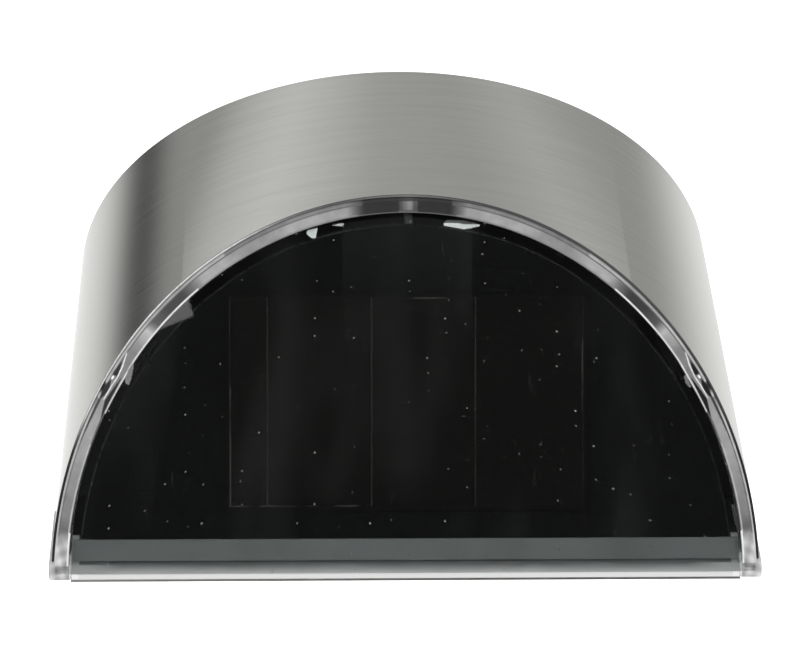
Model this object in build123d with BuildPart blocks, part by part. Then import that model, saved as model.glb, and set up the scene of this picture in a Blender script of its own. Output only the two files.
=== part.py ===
from build123d import *
import os
from math import atan2, cos, degrees, pi, radians, sin, sqrt, tan

os.makedirs("parts", exist_ok=True)

# Solar fence light as it hangs on a fence: the fence is the plane Y = 0, the light stands out
# towards -Y, +Z is up. The origin lies on the fence, level with the seats of the two keyholes.
# "Reach" is a distance from the fence, "height" is above the light's bottom edge, "depth" is
# measured square to the slanted solar face, down into the light. All sizes are in millimetres.

# Overall shape
body_width = 110.0
body_reach = 45.3
wall_height = 71.7
face_angle = 40.6
mount_height = 54.5
spare_height = 20.0

# Wall plate and back cover
wall_plate_thickness = 0.3
wall_plate_side_margin = 3.0
wall_plate_low_margin = 0.2
wall_plate_top_drop = 0.05
back_thickness = 2.0
lip_thickness = 0.6
lip_drop = 0.02
lip_side_margin = 3.1
rail_reach = 3.6
rail_thickness = 1.8
sill_thickness = 0.65

# Steel band
band_thickness = 0.3
band_drop = 0.2
band_return = 4.0
band_return_low = 3.0
band_return_high = 56.0

# Clear top cover
fit_gap = 0.2
cover_gap = 0.1
face_gap = 0.1
pane_thickness = 1.5
skirt_side = 2.2
skirt_front = 2.55
skirt_depth = 9.0
corner_stand = 0.4
corner_start = 0.1
rib_width = 1.6
rib_head = 3.4
rib_length = 1.3
rib_depth = 6.0
rib_slit = 0.3
hook_angle = 37.0
hook_width = 7.0
hook_thickness = 1.2
hook_depth = 13.0
hook_barb = 0.8

# Solar tray and cell
tray_side_gap = 1.4
tray_front_gap = 1.78
tray_thickness = 2.4
tray_reach = 3.83
tray_bevel = 0.35
clip_gap = 0.02
clip_bevel = 0.3
clip_length = 10.0
tray_rim = 1.4
tray_rim_depth = 1.6
tray_rim_reach = 8.0
cell_width = 56.2
cell_length = 33.6
cell_down = 27.7
cell_gap = 0.25
cell_recess = 1.6
cell_glass_thickness = 1.0
cell_film_thickness = 0.15
cell_backing_thickness = 0.15
cell_solder_thickness = 0.2
cell_solder_width = 1.2
cell_solder_margin = 3.25
cell_first_strip = 6.4
cell_strip_pitch = 16.2
cell_scribe = 0.25
sill_height = 3.3
sill_start = 3.15

# Inner housing
housing_side_gap = 3.9
housing_front_gap = 3.75
housing_wall = 1.8
floor_height = 17.0
floor_thickness = 1.8
ledge_thickness = 1.5
gasket_thickness = 0.8
gasket_width = 1.2
gasket_top_drop = 0.6

# Screws: a 90 degree head on the wall plate, pan heads inside
screw_shank = 1.2
screw_length = 9.0
screw_head = 2.5
screw_gap = 0.05
screw_slot_length = 2.4
screw_slot_width = 0.6
screw_slot_depth = 0.7
back_screw_inset = 6.2
back_screw_low = 22.0
back_screw_high = 49.5
back_boss = 3.0
back_boss_length = 10.0
back_boss_end = 1.5
small_shank = 0.85
small_head = 1.8
small_head_height = 1.1
small_length = 5.0
small_boss = 2.1
small_boss_end = 0.5

# Keyholes
keyhole_spacing = 56.0
keyhole_slot = 2.2
keyhole_entry = 4.4
keyhole_drop = 7.0
pocket_wall = 1.2
pocket_depth = 5.0
pocket_width = 13.0
pocket_above = 4.2
pocket_below = 4.7

# Battery, its bay and its door
battery_radius = 5.25
battery_length = 44.5
battery_nub = 1.9
battery_nub_length = 0.9
battery_height = 29.5
battery_shoulder = 0.8
battery_foot = 0.5
battery_gap = 0.55
bay_centre = -8.5
bay_spring_room = 5.7
bay_side_gap = 1.25
bay_floor_gap = 1.15
bay_wall = 1.2
door_left_margin = 3.0
door_right_margin = 9.0
door_overlap = 2.2
door_thickness = 2.2
door_inset = 0.1
door_gap = 0.3
door_frame = 1.4
door_corner = 0.6
door_notch = 3.5
door_notch_depth = 1.0
door_gasket_gap = 0.5
door_screw_margin = 3.6
door_screw_boss = 3.0
door_screw_boss_length = 7.0
door_screw_length = 6.0
door_screw_head = 2.3
door_screw_recess = 2.5
door_screw_recess_depth = 1.3
contact_thickness = 0.4
contact_size = 9.0
contact_pin_rise = 3.9
contact_pin_stand = 0.8
spring_wire = 0.6
spring_turns = 4
spring_wide = 3.6
spring_narrow = 2.2

# Switch
switch_from_door = 10.0
switch_height = 30.5
switch_length = 8.6
switch_width = 4.6
switch_body_depth = 4.5
switch_travel = 3.0
knob_length = 3.0
knob_width = 2.6
knob_inset = 0.35
knob_foot = 1.1
knob_groove = 0.35
knob_groove_depth = 0.4
switch_gap = 0.1
switch_recess_length = 14.0
switch_recess_width = 9.0
switch_recess_depth = 1.2
switch_recess_corner = 2.0
switch_corner = 0.3
switch_frame = 1.6
switch_frame_depth = 3.0
terminal_radius = 0.35
terminal_length = 3.0
terminal_pitch = 2.5

# Circuit board
board_length = 30.0
board_width = 15.0
board_thickness = 1.2
board_reach = 25.5
board_stand = 3.0
board_screw_side = 11.0
board_corner = 1.0
chip_spot = (-3.0, -21.5)
chip_length = 4.9
chip_width = 3.9
chip_height = 1.4
chip_lift = 0.2
chip_edge = 0.25
chip_pins = 4
chip_pin_pitch = 1.27
chip_pin_width = 0.4
chip_pin_length = 1.2
chip_pin_height = 0.7
coil_start = 1.0
coil_length = 8.0
coil_radius = 1.5
coil_reach = 30.0
coil_lift = 0.1
coil_edge = 0.5
coil_leg = 0.3
coil_leg_out = 0.8
coil_leg_in = 0.1
capacitor_spot = (-6.5, -29.5)
capacitor_radius = 2.0
capacitor_height = 5.0
capacitor_edge = 0.4

# Light source and optics
lamp_length = 50.0
lamp_width = 9.0
lamp_thickness = 1.6
lamp_reach = 26.0
lamp_screw_side = 20.5
led_length = 3.5
led_width = 2.8
led_height = 0.8
led_pitch = 12.0
led_count = 3
led_rim = 0.3
led_dimple = 0.2
led_lead_side = 1.5
led_lead_end = 0.6
lamp_opening_gap = 1.0
lamp_hole = 1.8
reflector_wall = 1.2
reflector_rim_drop = 7.7
reflector_top_drop = 2.0
reflector_rim_inset = 0.9
reflector_slope = 6.5
lens_lift = 0.5
lens_thickness = 2.0
lens_wall = 1.6

# Wires
wire_radius = 0.55
wire_hole = 0.8
wire_arc_share = 0.45

# Working values
top_z = wall_height - mount_height
slope = tan(radians(face_angle))
face_sin = sin(radians(face_angle))
face_cos = cos(radians(face_angle))
half_width = body_width / 2
tall = wall_height + spare_height
back_front = wall_plate_thickness + back_thickness
lip_half_width = half_width - lip_side_margin
corner_width = body_width + 2 * corner_stand
housing_back = back_front + gasket_thickness
band_inner_side = half_width - band_thickness
band_inner_reach = body_reach - band_thickness
cover_side = band_inner_side - cover_gap
cover_reach = band_inner_reach - cover_gap
ledge_side = band_inner_side - fit_gap
ledge_reach = band_inner_reach - fit_gap
skirt_inner_side = cover_side - skirt_side
skirt_inner_reach = cover_reach - skirt_front
tray_top = pane_thickness + fit_gap
tray_bottom = tray_top + tray_thickness
tray_side = skirt_inner_side - tray_side_gap
tray_front = (skirt_inner_reach + tray_top * face_sin) / face_cos - tray_front_gap
sill_depth = pane_thickness + sill_thickness
ledge_top = skirt_depth + gasket_thickness
ledge_bottom = ledge_top + ledge_thickness
floor_top = floor_height + floor_thickness
housing_side = skirt_inner_side - housing_side_gap
housing_front = skirt_inner_reach - housing_front_gap
back_screw_side = housing_side - back_screw_inset
housing_inner_side = housing_side - housing_wall
housing_inner_reach = housing_front - housing_wall
lip_front = wall_plate_thickness + lip_thickness
boss_top = floor_top + board_stand
door_front = door_inset + door_thickness
rebate_front = door_front + gasket_thickness
battery_reach = door_front + battery_gap + battery_radius
bay_length = battery_length + 2 * contact_thickness + bay_spring_room
bay_size = 2 * (battery_radius + bay_side_gap)
bay_reach = battery_reach + battery_radius + bay_floor_gap
bay_left = bay_centre - bay_length / 2
bay_right = bay_centre + bay_length / 2
door_left = bay_left - door_left_margin
door_right = bay_right + door_right_margin
door_size = bay_size + 2 * door_overlap
door_screw_side = door_right - door_screw_margin
switch_side = door_right + switch_from_door
pin_height = battery_height + contact_pin_rise
contact_pin = bay_wall + contact_pin_stand
clip_places = ((-8.45, 5.9, 0.25), (14.7, 1.9, -0.95), (10.5, 2.2, -0.05))

# The solar face: its X runs across, its Y runs up the slope to the fence
face = Plane(origin=(0, 0, top_z), x_dir=(1, 0, 0), z_dir=(0, -face_sin, face_cos))


def up(height):
    """Z of a height above the light's bottom edge."""
    return height - mount_height


def level(height):
    """Horizontal plane at a height above the bottom edge."""
    return Plane.XY.offset(up(height))


def upright(reach):
    """Plane parallel to the fence at a reach; its normal points away from the fence."""
    return Plane.XZ.offset(reach)


def sunk(depth):
    """Plane parallel to the solar face, at a depth below it."""
    return face.offset(-depth)


def face_point(side, down, depth):
    """Point under the solar face: across, down the slope from the fence, and below the face."""
    return sunk(depth).from_local_coords(Vector(side, -down, 0))


def half_oval(plane, side, reach, setback):
    """Half-ellipse on the fence line, cut off at the setback."""
    with BuildSketch(plane) as outline:
        Ellipse(side, reach)
        with Locations((0, -setback)):
            Rectangle(4 * side, 4 * reach, align=(Align.CENTER, Align.MIN), mode=Mode.SUBTRACT)
    return outline.sketch


def half_ring(plane, outer, inner, setback):
    """Strip between two half-ellipses, each given as side and reach, cut off at the setback."""
    with BuildSketch(plane) as outline:
        Ellipse(*outer)
        Ellipse(*inner, mode=Mode.SUBTRACT)
        with Locations((0, -setback)):
            Rectangle(4 * outer[0], 4 * outer[1], align=(Align.CENTER, Align.MIN), mode=Mode.SUBTRACT)
    return outline.sketch


def slanted(outline, upper, lower):
    """Upright prism of a level outline, kept between two depths under the solar face."""
    with BuildPart() as prism:
        extrude(outline, amount=tall)
        split(bisect_by=sunk(upper), keep=Keep.BOTTOM)
        split(bisect_by=sunk(lower), keep=Keep.TOP)
    return prism.part


def plan_block(side, reach, width, length, turn=0.0):
    """Level rectangle centred at a side and a reach, turned about the vertical."""
    with BuildSketch(level(0)) as outline:
        with Locations((side, -reach)):
            Rectangle(width, length, rotation=turn)
    return outline.sketch


def box_between(sides, reaches, heights):
    """Block between two sides, two reaches and two heights."""
    with BuildPart() as block:
        with BuildSketch(upright(reaches[0])):
            with Locations(((sides[0] + sides[1]) / 2, up((heights[0] + heights[1]) / 2))):
                Rectangle(sides[1] - sides[0], heights[1] - heights[0])
        extrude(amount=reaches[1] - reaches[0])
    return block.part


def round_bar(plane, radius, length):
    """Cylinder that starts on a plane and runs along its normal."""
    with BuildPart() as bar:
        with BuildSketch(plane):
            Circle(radius)
        extrude(amount=length)
    return bar.part


def wall_point(side, height, reach):
    """Plane parallel to the fence, centred at a side and a height, at a reach."""
    return Plane(origin=(side, -reach, up(height)), x_dir=(1, 0, 0), z_dir=(0, -1, 0))


def skirt_block(angle, inset, width, length, upper, lower):
    """Block square to the skirt's inner face, centred inside it by an inset, between two depths."""
    across = cos(radians(angle))
    along = sin(radians(angle))
    ahead = Vector(across / skirt_inner_side, -along / skirt_inner_reach).normalized()
    side = skirt_inner_side * across - ahead.X * inset
    reach = skirt_inner_reach * along + ahead.Y * inset
    turn = 90 + degrees(atan2(ahead.Y, ahead.X))
    return slanted(plan_block(side, reach, width, length, turn), upper, lower)


def pan_screw(plane, shank, length, head, head_height):
    """Screw whose rounded head stands on the plane, with its shank along the plane's normal."""
    with BuildPart() as screw:
        with BuildSketch(plane):
            Circle(head)
        extrude(amount=-head_height)
        fillet(screw.edges().sort_by(Axis(plane.origin, plane.z_dir))[0], head_height / 2)
        with BuildSketch(plane):
            Circle(shank)
        extrude(amount=length)
        with BuildSketch(plane.offset(-head_height)):
            Rectangle(head, head / 4)
            Rectangle(head / 4, head)
        extrude(amount=head_height / 2, mode=Mode.SUBTRACT)
    return screw.part


def bay_end(wall_side, outward):
    """Plane on a bay end where the contact's pin goes through, its normal pointing out of the bay."""
    return Plane(origin=(wall_side, -battery_reach, up(pin_height)), x_dir=(0, 1, 0), z_dir=(outward, 0, 0))


def save(builder, name):
    """Label a finished piece and write its file."""
    builder.part.label = name
    export_step(builder.part, f"parts/{name}.step")


keyhole_sides = (-keyhole_spacing / 2, keyhole_spacing / 2)
back_screw_spots = [(s * back_screw_side, h) for s in (-1, 1) for h in (back_screw_low, back_screw_high)]
door_centre = (door_left + door_right) / 2
door_width = door_right - door_left

# Steel band: a brushed strip bent to the half-ellipse, its two ends turned in behind the housing
band_inner = (band_inner_side, band_inner_reach)
band_outline = half_ring(level(0), (half_width, body_reach), band_inner, back_front)
with BuildPart() as steel_band:
    extrude(band_outline, amount=tall)
    split(bisect_by=sunk(band_drop), keep=Keep.BOTTOM)
    return_mid = up((band_return_low + band_return_high) / 2)
    return_side = band_inner_side + band_thickness / 2 - band_return / 2
    with BuildSketch(upright(back_front)):
        with Locations((-return_side, return_mid), (return_side, return_mid)):
            Rectangle(band_return, band_return_high - band_return_low)
    extrude(amount=band_thickness)
save(steel_band, "steel_band")

# Clear top cover: pane, skirt inside the band, corner blocks, locating rib and two snap hooks
cover_outline = half_oval(level(0), cover_side, cover_reach, wall_plate_thickness)
hollow_outline = half_oval(level(0), skirt_inner_side, skirt_inner_reach, 0)
cover_hollow = slanted(hollow_outline, pane_thickness, tall / 2)
corner_length = corner_width / 2 - skirt_inner_side
corner_side = corner_width / 2 - corner_length / 2
corner_end = back_front - fit_gap
corner_reach = (corner_start + corner_end) / 2
corner_blocks = [
    slanted(plan_block(s * corner_side, corner_reach, corner_length, corner_end - corner_start),
            0, skirt_depth)
    for s in (-1, 1)
]
rib_reach = skirt_inner_reach - rib_length / 2 + fit_gap
rib_outline = plan_block(0, rib_reach, rib_width, rib_length + 2 * fit_gap)
locating_rib = slanted(rib_outline, pane_thickness, rib_depth)
rib_slits = [
    slanted(plan_block(s * rib_head / 2, cover_reach, rib_slit, 4 * skirt_front),
            pane_thickness, 2 * skirt_depth)
    for s in (-1, 1)
]
hook_angles = (hook_angle, 180 - hook_angle)
hooks = [
    skirt_block(a, hook_thickness / 2, hook_width, hook_thickness, pane_thickness, hook_depth)
    for a in hook_angles
]
barbs = [
    skirt_block(a, (hook_thickness - hook_barb) / 2, hook_width, hook_thickness + hook_barb,
                ledge_bottom + face_gap, hook_depth)
    for a in hook_angles
]
with BuildPart() as top_cover:
    extrude(cover_outline, amount=tall)
    split(bisect_by=face, keep=Keep.BOTTOM)
    split(bisect_by=sunk(skirt_depth), keep=Keep.TOP)
    add(corner_blocks)
    add(cover_hollow, mode=Mode.SUBTRACT)
    add(rib_slits, mode=Mode.SUBTRACT)
    add(locating_rib)
    add(hooks)
    add(barbs)
    lip_notch = lip_half_width + fit_gap
    with BuildSketch(upright(0)):
        with Locations((0, top_z)):
            Rectangle(2 * lip_notch, wall_height)
    extrude(amount=lip_front + fit_gap / 4, mode=Mode.SUBTRACT)
save(top_cover, "top_cover")

# Cover gasket: rubber strip between the skirt's lower edge and the housing's ledge
gasket_inset = (skirt_front - gasket_width) / 2
gasket_outer = (cover_side - gasket_inset, cover_reach - gasket_inset)
gasket_inner = (gasket_outer[0] - gasket_width, gasket_outer[1] - gasket_width)
with BuildPart() as cover_gasket:
    add(slanted(half_ring(level(0), gasket_outer, gasket_inner, housing_back), skirt_depth, ledge_top))
save(cover_gasket, "cover_gasket")

# Solar tray: black half-oval plate with a bevelled edge and a recess for the cell
tray_rim_outer = (housing_inner_side - fit_gap, housing_inner_reach - fit_gap)
tray_rim_inner = (tray_rim_outer[0] - tray_rim, tray_rim_outer[1] - tray_rim)
tray_rim_wall = slanted(
    half_ring(level(0), tray_rim_outer, tray_rim_inner, tray_rim_reach),
    tray_bottom - tray_thickness / 2, tray_bottom + tray_rim_depth)
cell_side = cell_width / 2
solder_side = cell_side - cell_solder_width
cell_top = tray_top + face_gap / 2
cell_stack = (cell_glass_thickness, cell_film_thickness, cell_backing_thickness, cell_solder_thickness)
with BuildPart() as solar_tray:
    with BuildSketch(sunk(tray_top)):
        Ellipse(tray_side, tray_front)
        Rectangle(4 * tray_side, 4 * tray_front, align=(Align.CENTER, Align.MIN), mode=Mode.SUBTRACT)
    extrude(amount=-tray_thickness)
    split(bisect_by=upright(tray_reach), keep=Keep.TOP)
    tray_face = solar_tray.faces().filter_by(face).sort_by(Axis(face.origin, face.z_dir))[-1]
    chamfer(tray_face.edges().sort_by(SortBy.LENGTH)[-1], tray_bevel)
    add(tray_rim_wall)
    with BuildSketch(sunk(tray_top)):
        with Locations((0, -cell_down)):
            Rectangle(cell_width + 2 * cell_gap, cell_length + 2 * cell_gap)
    extrude(amount=-cell_recess, mode=Mode.SUBTRACT)
    with BuildSketch(sunk(tray_top)):
        with Locations((-solder_side, -cell_down), (solder_side, -cell_down)):
            Circle(wire_hole)
    extrude(amount=-2 * tray_thickness, mode=Mode.SUBTRACT)
save(solar_tray, "solar_tray")

# Tray clips: three small white wedges on the tray's front edge, just under the pane
with BuildPart() as tray_clips:
    with BuildSketch(sunk(pane_thickness + face_gap)):
        for across, width, beyond in clip_places:
            with Locations((across, -tray_front - beyond)):
                Rectangle(width, clip_length, align=(Align.CENTER, Align.MIN))
        Ellipse(tray_side + clip_gap, tray_front + clip_gap, mode=Mode.SUBTRACT)
    extrude(amount=-tray_thickness)
    clip_tops = tray_clips.faces().filter_by(face).group_by(Axis(face.origin, face.z_dir))[-1]
    chamfer([top.edges().sort_by(Axis.Y)[0] for top in clip_tops], clip_bevel)
save(tray_clips, "tray_clips")


def cell_layer(layer, places):
    """Rectangles of one layer of the cell stack, each given as centre, width and length."""
    with BuildSketch(sunk(cell_top + sum(cell_stack[:layer]))) as outline:
        for centre, width, length in places:
            with Locations((centre, -cell_down)):
                Rectangle(width, length)
    extrude(outline.sketch, amount=-cell_stack[layer])


# Solar cell: glass, four film strips divided by scribe lines, back electrode, solder strips
film_length = cell_length - 4 * cell_gap
film_side = cell_side - 2 * cell_gap
scribes = [cell_side - cell_first_strip - i * cell_strip_pitch for i in range(3)]
film_edges = [film_side] + scribes + [-film_side]
film_strips = [
    ((a + b) / 2, a - b - cell_scribe, film_length) for a, b in zip(film_edges[:-1], film_edges[1:])
]
with BuildPart() as cell_glass:
    cell_layer(0, [(0, cell_width, cell_length)])
save(cell_glass, "cell_glass")
with BuildPart() as cell_film:
    cell_layer(1, film_strips)
save(cell_film, "cell_film")
with BuildPart() as cell_backing:
    cell_layer(2, [(0, 2 * film_side, film_length)])
save(cell_backing, "cell_backing")
with BuildPart() as cell_solder:
    solder_length = film_length - 2 * cell_solder_margin
    cell_layer(3, [(s * solder_side, cell_solder_width, solder_length) for s in (-1, 1)])
save(cell_solder, "cell_solder")

# Sill seal: grey strip on the back cover's rail, under the pane's edge next to the fence
with BuildPart() as sill_seal:
    with BuildSketch(sunk(pane_thickness)):
        with Locations((0, -(sill_start + sill_height / 2))):
            Rectangle(2 * (lip_half_width - fit_gap), sill_height)
    extrude(amount=pane_thickness - sill_depth)
save(sill_seal, "sill_seal")

# Inner housing: wall, floor and ledge in one moulding, open to the back and under the tray
hook_windows = [
    skirt_block(a, (hook_thickness + hook_barb) / 2, hook_width + 3 * fit_gap,
                hook_thickness + hook_barb + 2 * fit_gap, skirt_depth, hook_depth)
    for a in hook_angles
]
room = half_oval(level(floor_top), housing_inner_side, housing_inner_reach, 0)
with BuildPart() as inner_housing:
    extrude(half_oval(level(floor_height), housing_side, housing_front, housing_back), amount=tall)
    split(bisect_by=sunk(tray_bottom), keep=Keep.BOTTOM)
    add(slanted(half_oval(level(0), ledge_side, ledge_reach, housing_back), ledge_top, ledge_bottom))
    extrude(half_oval(level(floor_height), ledge_side, ledge_reach, housing_back), amount=floor_thickness)
    extrude(room, amount=tall, mode=Mode.SUBTRACT)
    for x, h in back_screw_spots:
        add(round_bar(wall_point(x, h, housing_back), back_boss, back_boss_length))
    with BuildSketch(level(floor_top)):
        with Locations(*[(s * a, -b) for s in (-1, 1) for a, b in
                         ((board_screw_side, board_reach), (lamp_screw_side, lamp_reach))]):
            Circle(small_boss)
    extrude(amount=board_stand)
    for x, h in back_screw_spots:
        add(round_bar(wall_point(x, h, housing_back), screw_shank + screw_gap,
                      back_boss_length - back_boss_end), mode=Mode.SUBTRACT)
    with BuildSketch(level(boss_top)):
        with Locations((-board_screw_side, -board_reach), (board_screw_side, -board_reach)):
            Circle(small_shank + screw_gap)
    extrude(amount=-small_length, mode=Mode.SUBTRACT)
    with BuildSketch(level(floor_height)):
        with Locations((-lamp_screw_side, -lamp_reach), (lamp_screw_side, -lamp_reach)):
            Circle(small_shank + screw_gap)
        with Locations((0, -lamp_reach)):
            SlotOverall(4 * lamp_hole, 2 * lamp_hole)
    extrude(amount=floor_thickness + board_stand - small_boss_end, mode=Mode.SUBTRACT)
    add(hook_windows, mode=Mode.SUBTRACT)
save(inner_housing, "inner_housing")

# Housing gasket: rubber strip round the housing's open back
gasket_side = housing_side - (housing_wall - gasket_width) / 2 - face_gap
gasket_low = floor_height + (floor_thickness - gasket_width) / 2
gasket_top = wall_height - housing_back * slope - (tray_bottom + gasket_top_drop) / face_cos
with BuildPart() as housing_gasket:
    with BuildSketch(upright(back_front)):
        with Locations((0, up(gasket_low))):
            Rectangle(2 * gasket_side, gasket_top - gasket_low, align=(Align.CENTER, Align.MIN))
        with Locations((0, up(gasket_low + gasket_width))):
            Rectangle(2 * (gasket_side - gasket_width), wall_height, align=(Align.CENTER, Align.MIN),
                      mode=Mode.SUBTRACT)
    extrude(amount=gasket_thickness)
save(housing_gasket, "housing_gasket")

# Back cover: plate, top lip and rail, battery bay, keyhole pockets and switch frame
lip_block = slanted(
    plan_block(0, (wall_plate_thickness + lip_front) / 2, 2 * lip_half_width, lip_thickness),
    lip_drop, 2 * tray_bottom)
rail_length = rail_reach - wall_plate_thickness
rail_block = slanted(
    plan_block(0, wall_plate_thickness + rail_length / 2, 2 * lip_half_width, rail_length),
    sill_depth, sill_depth + rail_thickness)
notch_length = 2 * (half_width - lip_half_width - fit_gap)
corner_notch = [
    slanted(plan_block(s * half_width, 0, notch_length, 4 * back_front),
            -tall / 2, skirt_depth + fit_gap)
    for s in (-1, 1)
]
bay_low = battery_height - bay_size / 2
bay_high = battery_height + bay_size / 2
door_low = battery_height - door_size / 2
door_high = battery_height + door_size / 2
with BuildPart() as back_cover:
    with BuildSketch(upright(wall_plate_thickness)):
        with Locations((0, up(0))):
            Rectangle(body_width, tall, align=(Align.CENTER, Align.MIN))
    extrude(amount=back_thickness)
    split(bisect_by=sunk(sill_depth), keep=Keep.BOTTOM)
    add(lip_block)
    add(rail_block)
    add(corner_notch, mode=Mode.SUBTRACT)
    add(box_between((door_left - door_frame - door_gap, door_right + door_frame + door_gap),
                    (back_front, rebate_front + door_frame),
                    (door_low - door_frame, door_high + door_frame)))
    add(box_between((bay_left - bay_wall, bay_right + bay_wall), (back_front, bay_reach + bay_wall),
                    (bay_low - bay_wall, bay_high + bay_wall)))
    add(round_bar(wall_point(door_screw_side, battery_height, rebate_front), door_screw_boss,
                  door_screw_boss_length))
    for x in keyhole_sides:
        add(box_between((x - pocket_width / 2 - pocket_wall, x + pocket_width / 2 + pocket_wall),
                        (back_front, wall_plate_thickness + pocket_depth + pocket_wall),
                        (mount_height - keyhole_drop - pocket_below - pocket_wall,
                         mount_height + pocket_above + pocket_wall)))
        add(box_between((x - pocket_width / 2, x + pocket_width / 2),
                        (0, wall_plate_thickness + pocket_depth),
                        (mount_height - keyhole_drop - pocket_below, mount_height + pocket_above)),
            mode=Mode.SUBTRACT)
    for gap, reach, mode in ((switch_frame, switch_frame_depth, Mode.ADD),
                             (switch_gap, 2 * switch_frame_depth, Mode.SUBTRACT)):
        with BuildSketch(wall_point(switch_side, switch_height, back_front)):
            Rectangle(switch_length + 2 * gap, switch_width + 2 * gap)
        extrude(amount=reach, mode=mode)
    with BuildSketch(wall_point(switch_side, switch_height, 0)):
        RectangleRounded(switch_recess_length, switch_recess_width, switch_recess_corner)
    extrude(amount=wall_plate_thickness + switch_recess_depth, mode=Mode.SUBTRACT)
    with BuildSketch(wall_point(switch_side, switch_height, 0)):
        Rectangle(switch_travel + knob_length + 4 * switch_gap, knob_width + 4 * switch_gap)
    extrude(amount=back_front, mode=Mode.SUBTRACT)
    add(box_between((door_left - door_gap, door_right + door_gap), (0, rebate_front),
                    (door_low - door_gap, door_high + door_gap)), mode=Mode.SUBTRACT)
    add(box_between((bay_left, bay_right), (0, bay_reach), (bay_low, bay_high)), mode=Mode.SUBTRACT)
    door_screw_spot = wall_point(door_screw_side, battery_height, 0)
    add(round_bar(door_screw_spot, screw_shank + screw_gap, rebate_front + door_screw_length),
        mode=Mode.SUBTRACT)
    add([
        round_bar(bay_end(x, outward), terminal_radius + screw_gap, 2 * bay_wall)
        for x, outward in ((bay_left, -1), (bay_right, 1))
    ], mode=Mode.SUBTRACT)
    for x, h in back_screw_spots:
        add(round_bar(wall_point(x, h, 0), screw_shank + 4 * screw_gap, back_front), mode=Mode.SUBTRACT)
        with BuildSketch(wall_point(x, h, 0)):
            Circle(screw_head + screw_gap)
        extrude(amount=screw_head - screw_shank, taper=45, mode=Mode.SUBTRACT)
save(back_cover, "back_cover")

# Wall plate: thin steel sheet with two keyholes and openings for the door and the switch
with BuildPart() as wall_plate:
    with BuildSketch(upright(0)):
        with Locations((0, up(wall_plate_low_margin))):
            Rectangle(body_width - 2 * wall_plate_side_margin, tall, align=(Align.CENTER, Align.MIN))
        with Locations((door_centre, up(battery_height))):
            RectangleRounded(door_width + 2 * door_gap, door_size + 2 * door_gap, door_corner + fit_gap,
                             mode=Mode.SUBTRACT)
        with Locations((switch_side, up(switch_height))):
            RectangleRounded(switch_recess_length, switch_recess_width, switch_recess_corner,
                             mode=Mode.SUBTRACT)
        with Locations(*[(x, -keyhole_drop) for x in keyhole_sides]):
            Circle(keyhole_entry, mode=Mode.SUBTRACT)
        with Locations(*[(x, -keyhole_drop / 2) for x in keyhole_sides]):
            SlotCenterToCenter(keyhole_drop, 2 * keyhole_slot, rotation=90, mode=Mode.SUBTRACT)
    extrude(amount=wall_plate_thickness)
    split(bisect_by=sunk(wall_plate_top_drop), keep=Keep.BOTTOM)
    for x, h in back_screw_spots:
        with BuildSketch(wall_point(x, h, 0)):
            Circle(screw_head + screw_gap)
        extrude(amount=screw_head - screw_shank, taper=45, mode=Mode.SUBTRACT)
save(wall_plate, "wall_plate")

# Back screws: four countersunk screws through wall plate and back cover into the housing
with BuildPart() as back_screws:
    for x, h in back_screw_spots:
        add(round_bar(wall_point(x, h, screw_gap), screw_shank, screw_length))
        with BuildSketch(wall_point(x, h, screw_gap)):
            Circle(screw_head)
        extrude(amount=screw_head - screw_shank, taper=45)
        with BuildSketch(wall_point(x, h, screw_gap)):
            Rectangle(screw_slot_length, screw_slot_width)
            Rectangle(screw_slot_width, screw_slot_length)
        extrude(amount=screw_slot_depth, mode=Mode.SUBTRACT)
save(back_screws, "back_screws")

# Battery door: lifts off the back once its screw is out; gasket and screw come away with it
with BuildPart() as battery_door:
    with BuildSketch(wall_point(door_centre, battery_height, door_inset)):
        RectangleRounded(door_width, door_size, door_corner)
    extrude(amount=door_thickness)
    with BuildSketch(wall_point(door_left, battery_height, door_inset)):
        Circle(door_notch)
    extrude(amount=door_notch_depth, mode=Mode.SUBTRACT)
    with BuildSketch(wall_point(door_screw_side, battery_height, door_inset)):
        Circle(door_screw_recess)
    extrude(amount=door_screw_recess_depth, mode=Mode.SUBTRACT)
    with BuildSketch(wall_point(door_screw_side, battery_height, door_inset)):
        Circle(screw_shank + screw_gap)
    extrude(amount=door_thickness, mode=Mode.SUBTRACT)
save(battery_door, "battery_door")
gasket_outset = door_gasket_gap + gasket_width
with BuildPart() as door_gasket:
    with BuildSketch(wall_point((bay_left + bay_right) / 2, battery_height, door_front)):
        RectangleRounded(bay_length + 2 * gasket_outset, bay_size + 2 * gasket_outset, gasket_width)
        Rectangle(bay_length + 2 * door_gasket_gap, bay_size + 2 * door_gasket_gap, mode=Mode.SUBTRACT)
    extrude(amount=gasket_thickness)
save(door_gasket, "door_gasket")
with BuildPart() as door_screw:
    door_screw_seat = wall_point(door_screw_side, battery_height, door_inset + door_screw_recess_depth)
    add(pan_screw(door_screw_seat, screw_shank, door_screw_length, door_screw_head, small_head_height))
save(door_screw, "door_screw")

# Battery: one small cell lying along the bay, its nub against the flat contact
nub_side = bay_right - contact_thickness
battery_axis = Axis((nub_side, -battery_reach, up(battery_height)), (-1, 0, 0))
with BuildPart() as battery:
    with BuildSketch(Plane(battery_axis.position, x_dir=(-1, 0, 0), z_dir=(0, -1, 0))):
        with BuildLine():
            Polyline(
                (0, 0), (0, battery_nub), (battery_nub_length, battery_nub),
                (battery_nub_length, battery_radius - battery_shoulder),
                (battery_nub_length + battery_shoulder, battery_radius),
                (battery_length - battery_foot, battery_radius),
                (battery_length, battery_radius - battery_foot),
                (battery_length, 0), (0, 0))
        make_face()
    revolve(axis=battery_axis)
save(battery, "battery")


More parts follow.
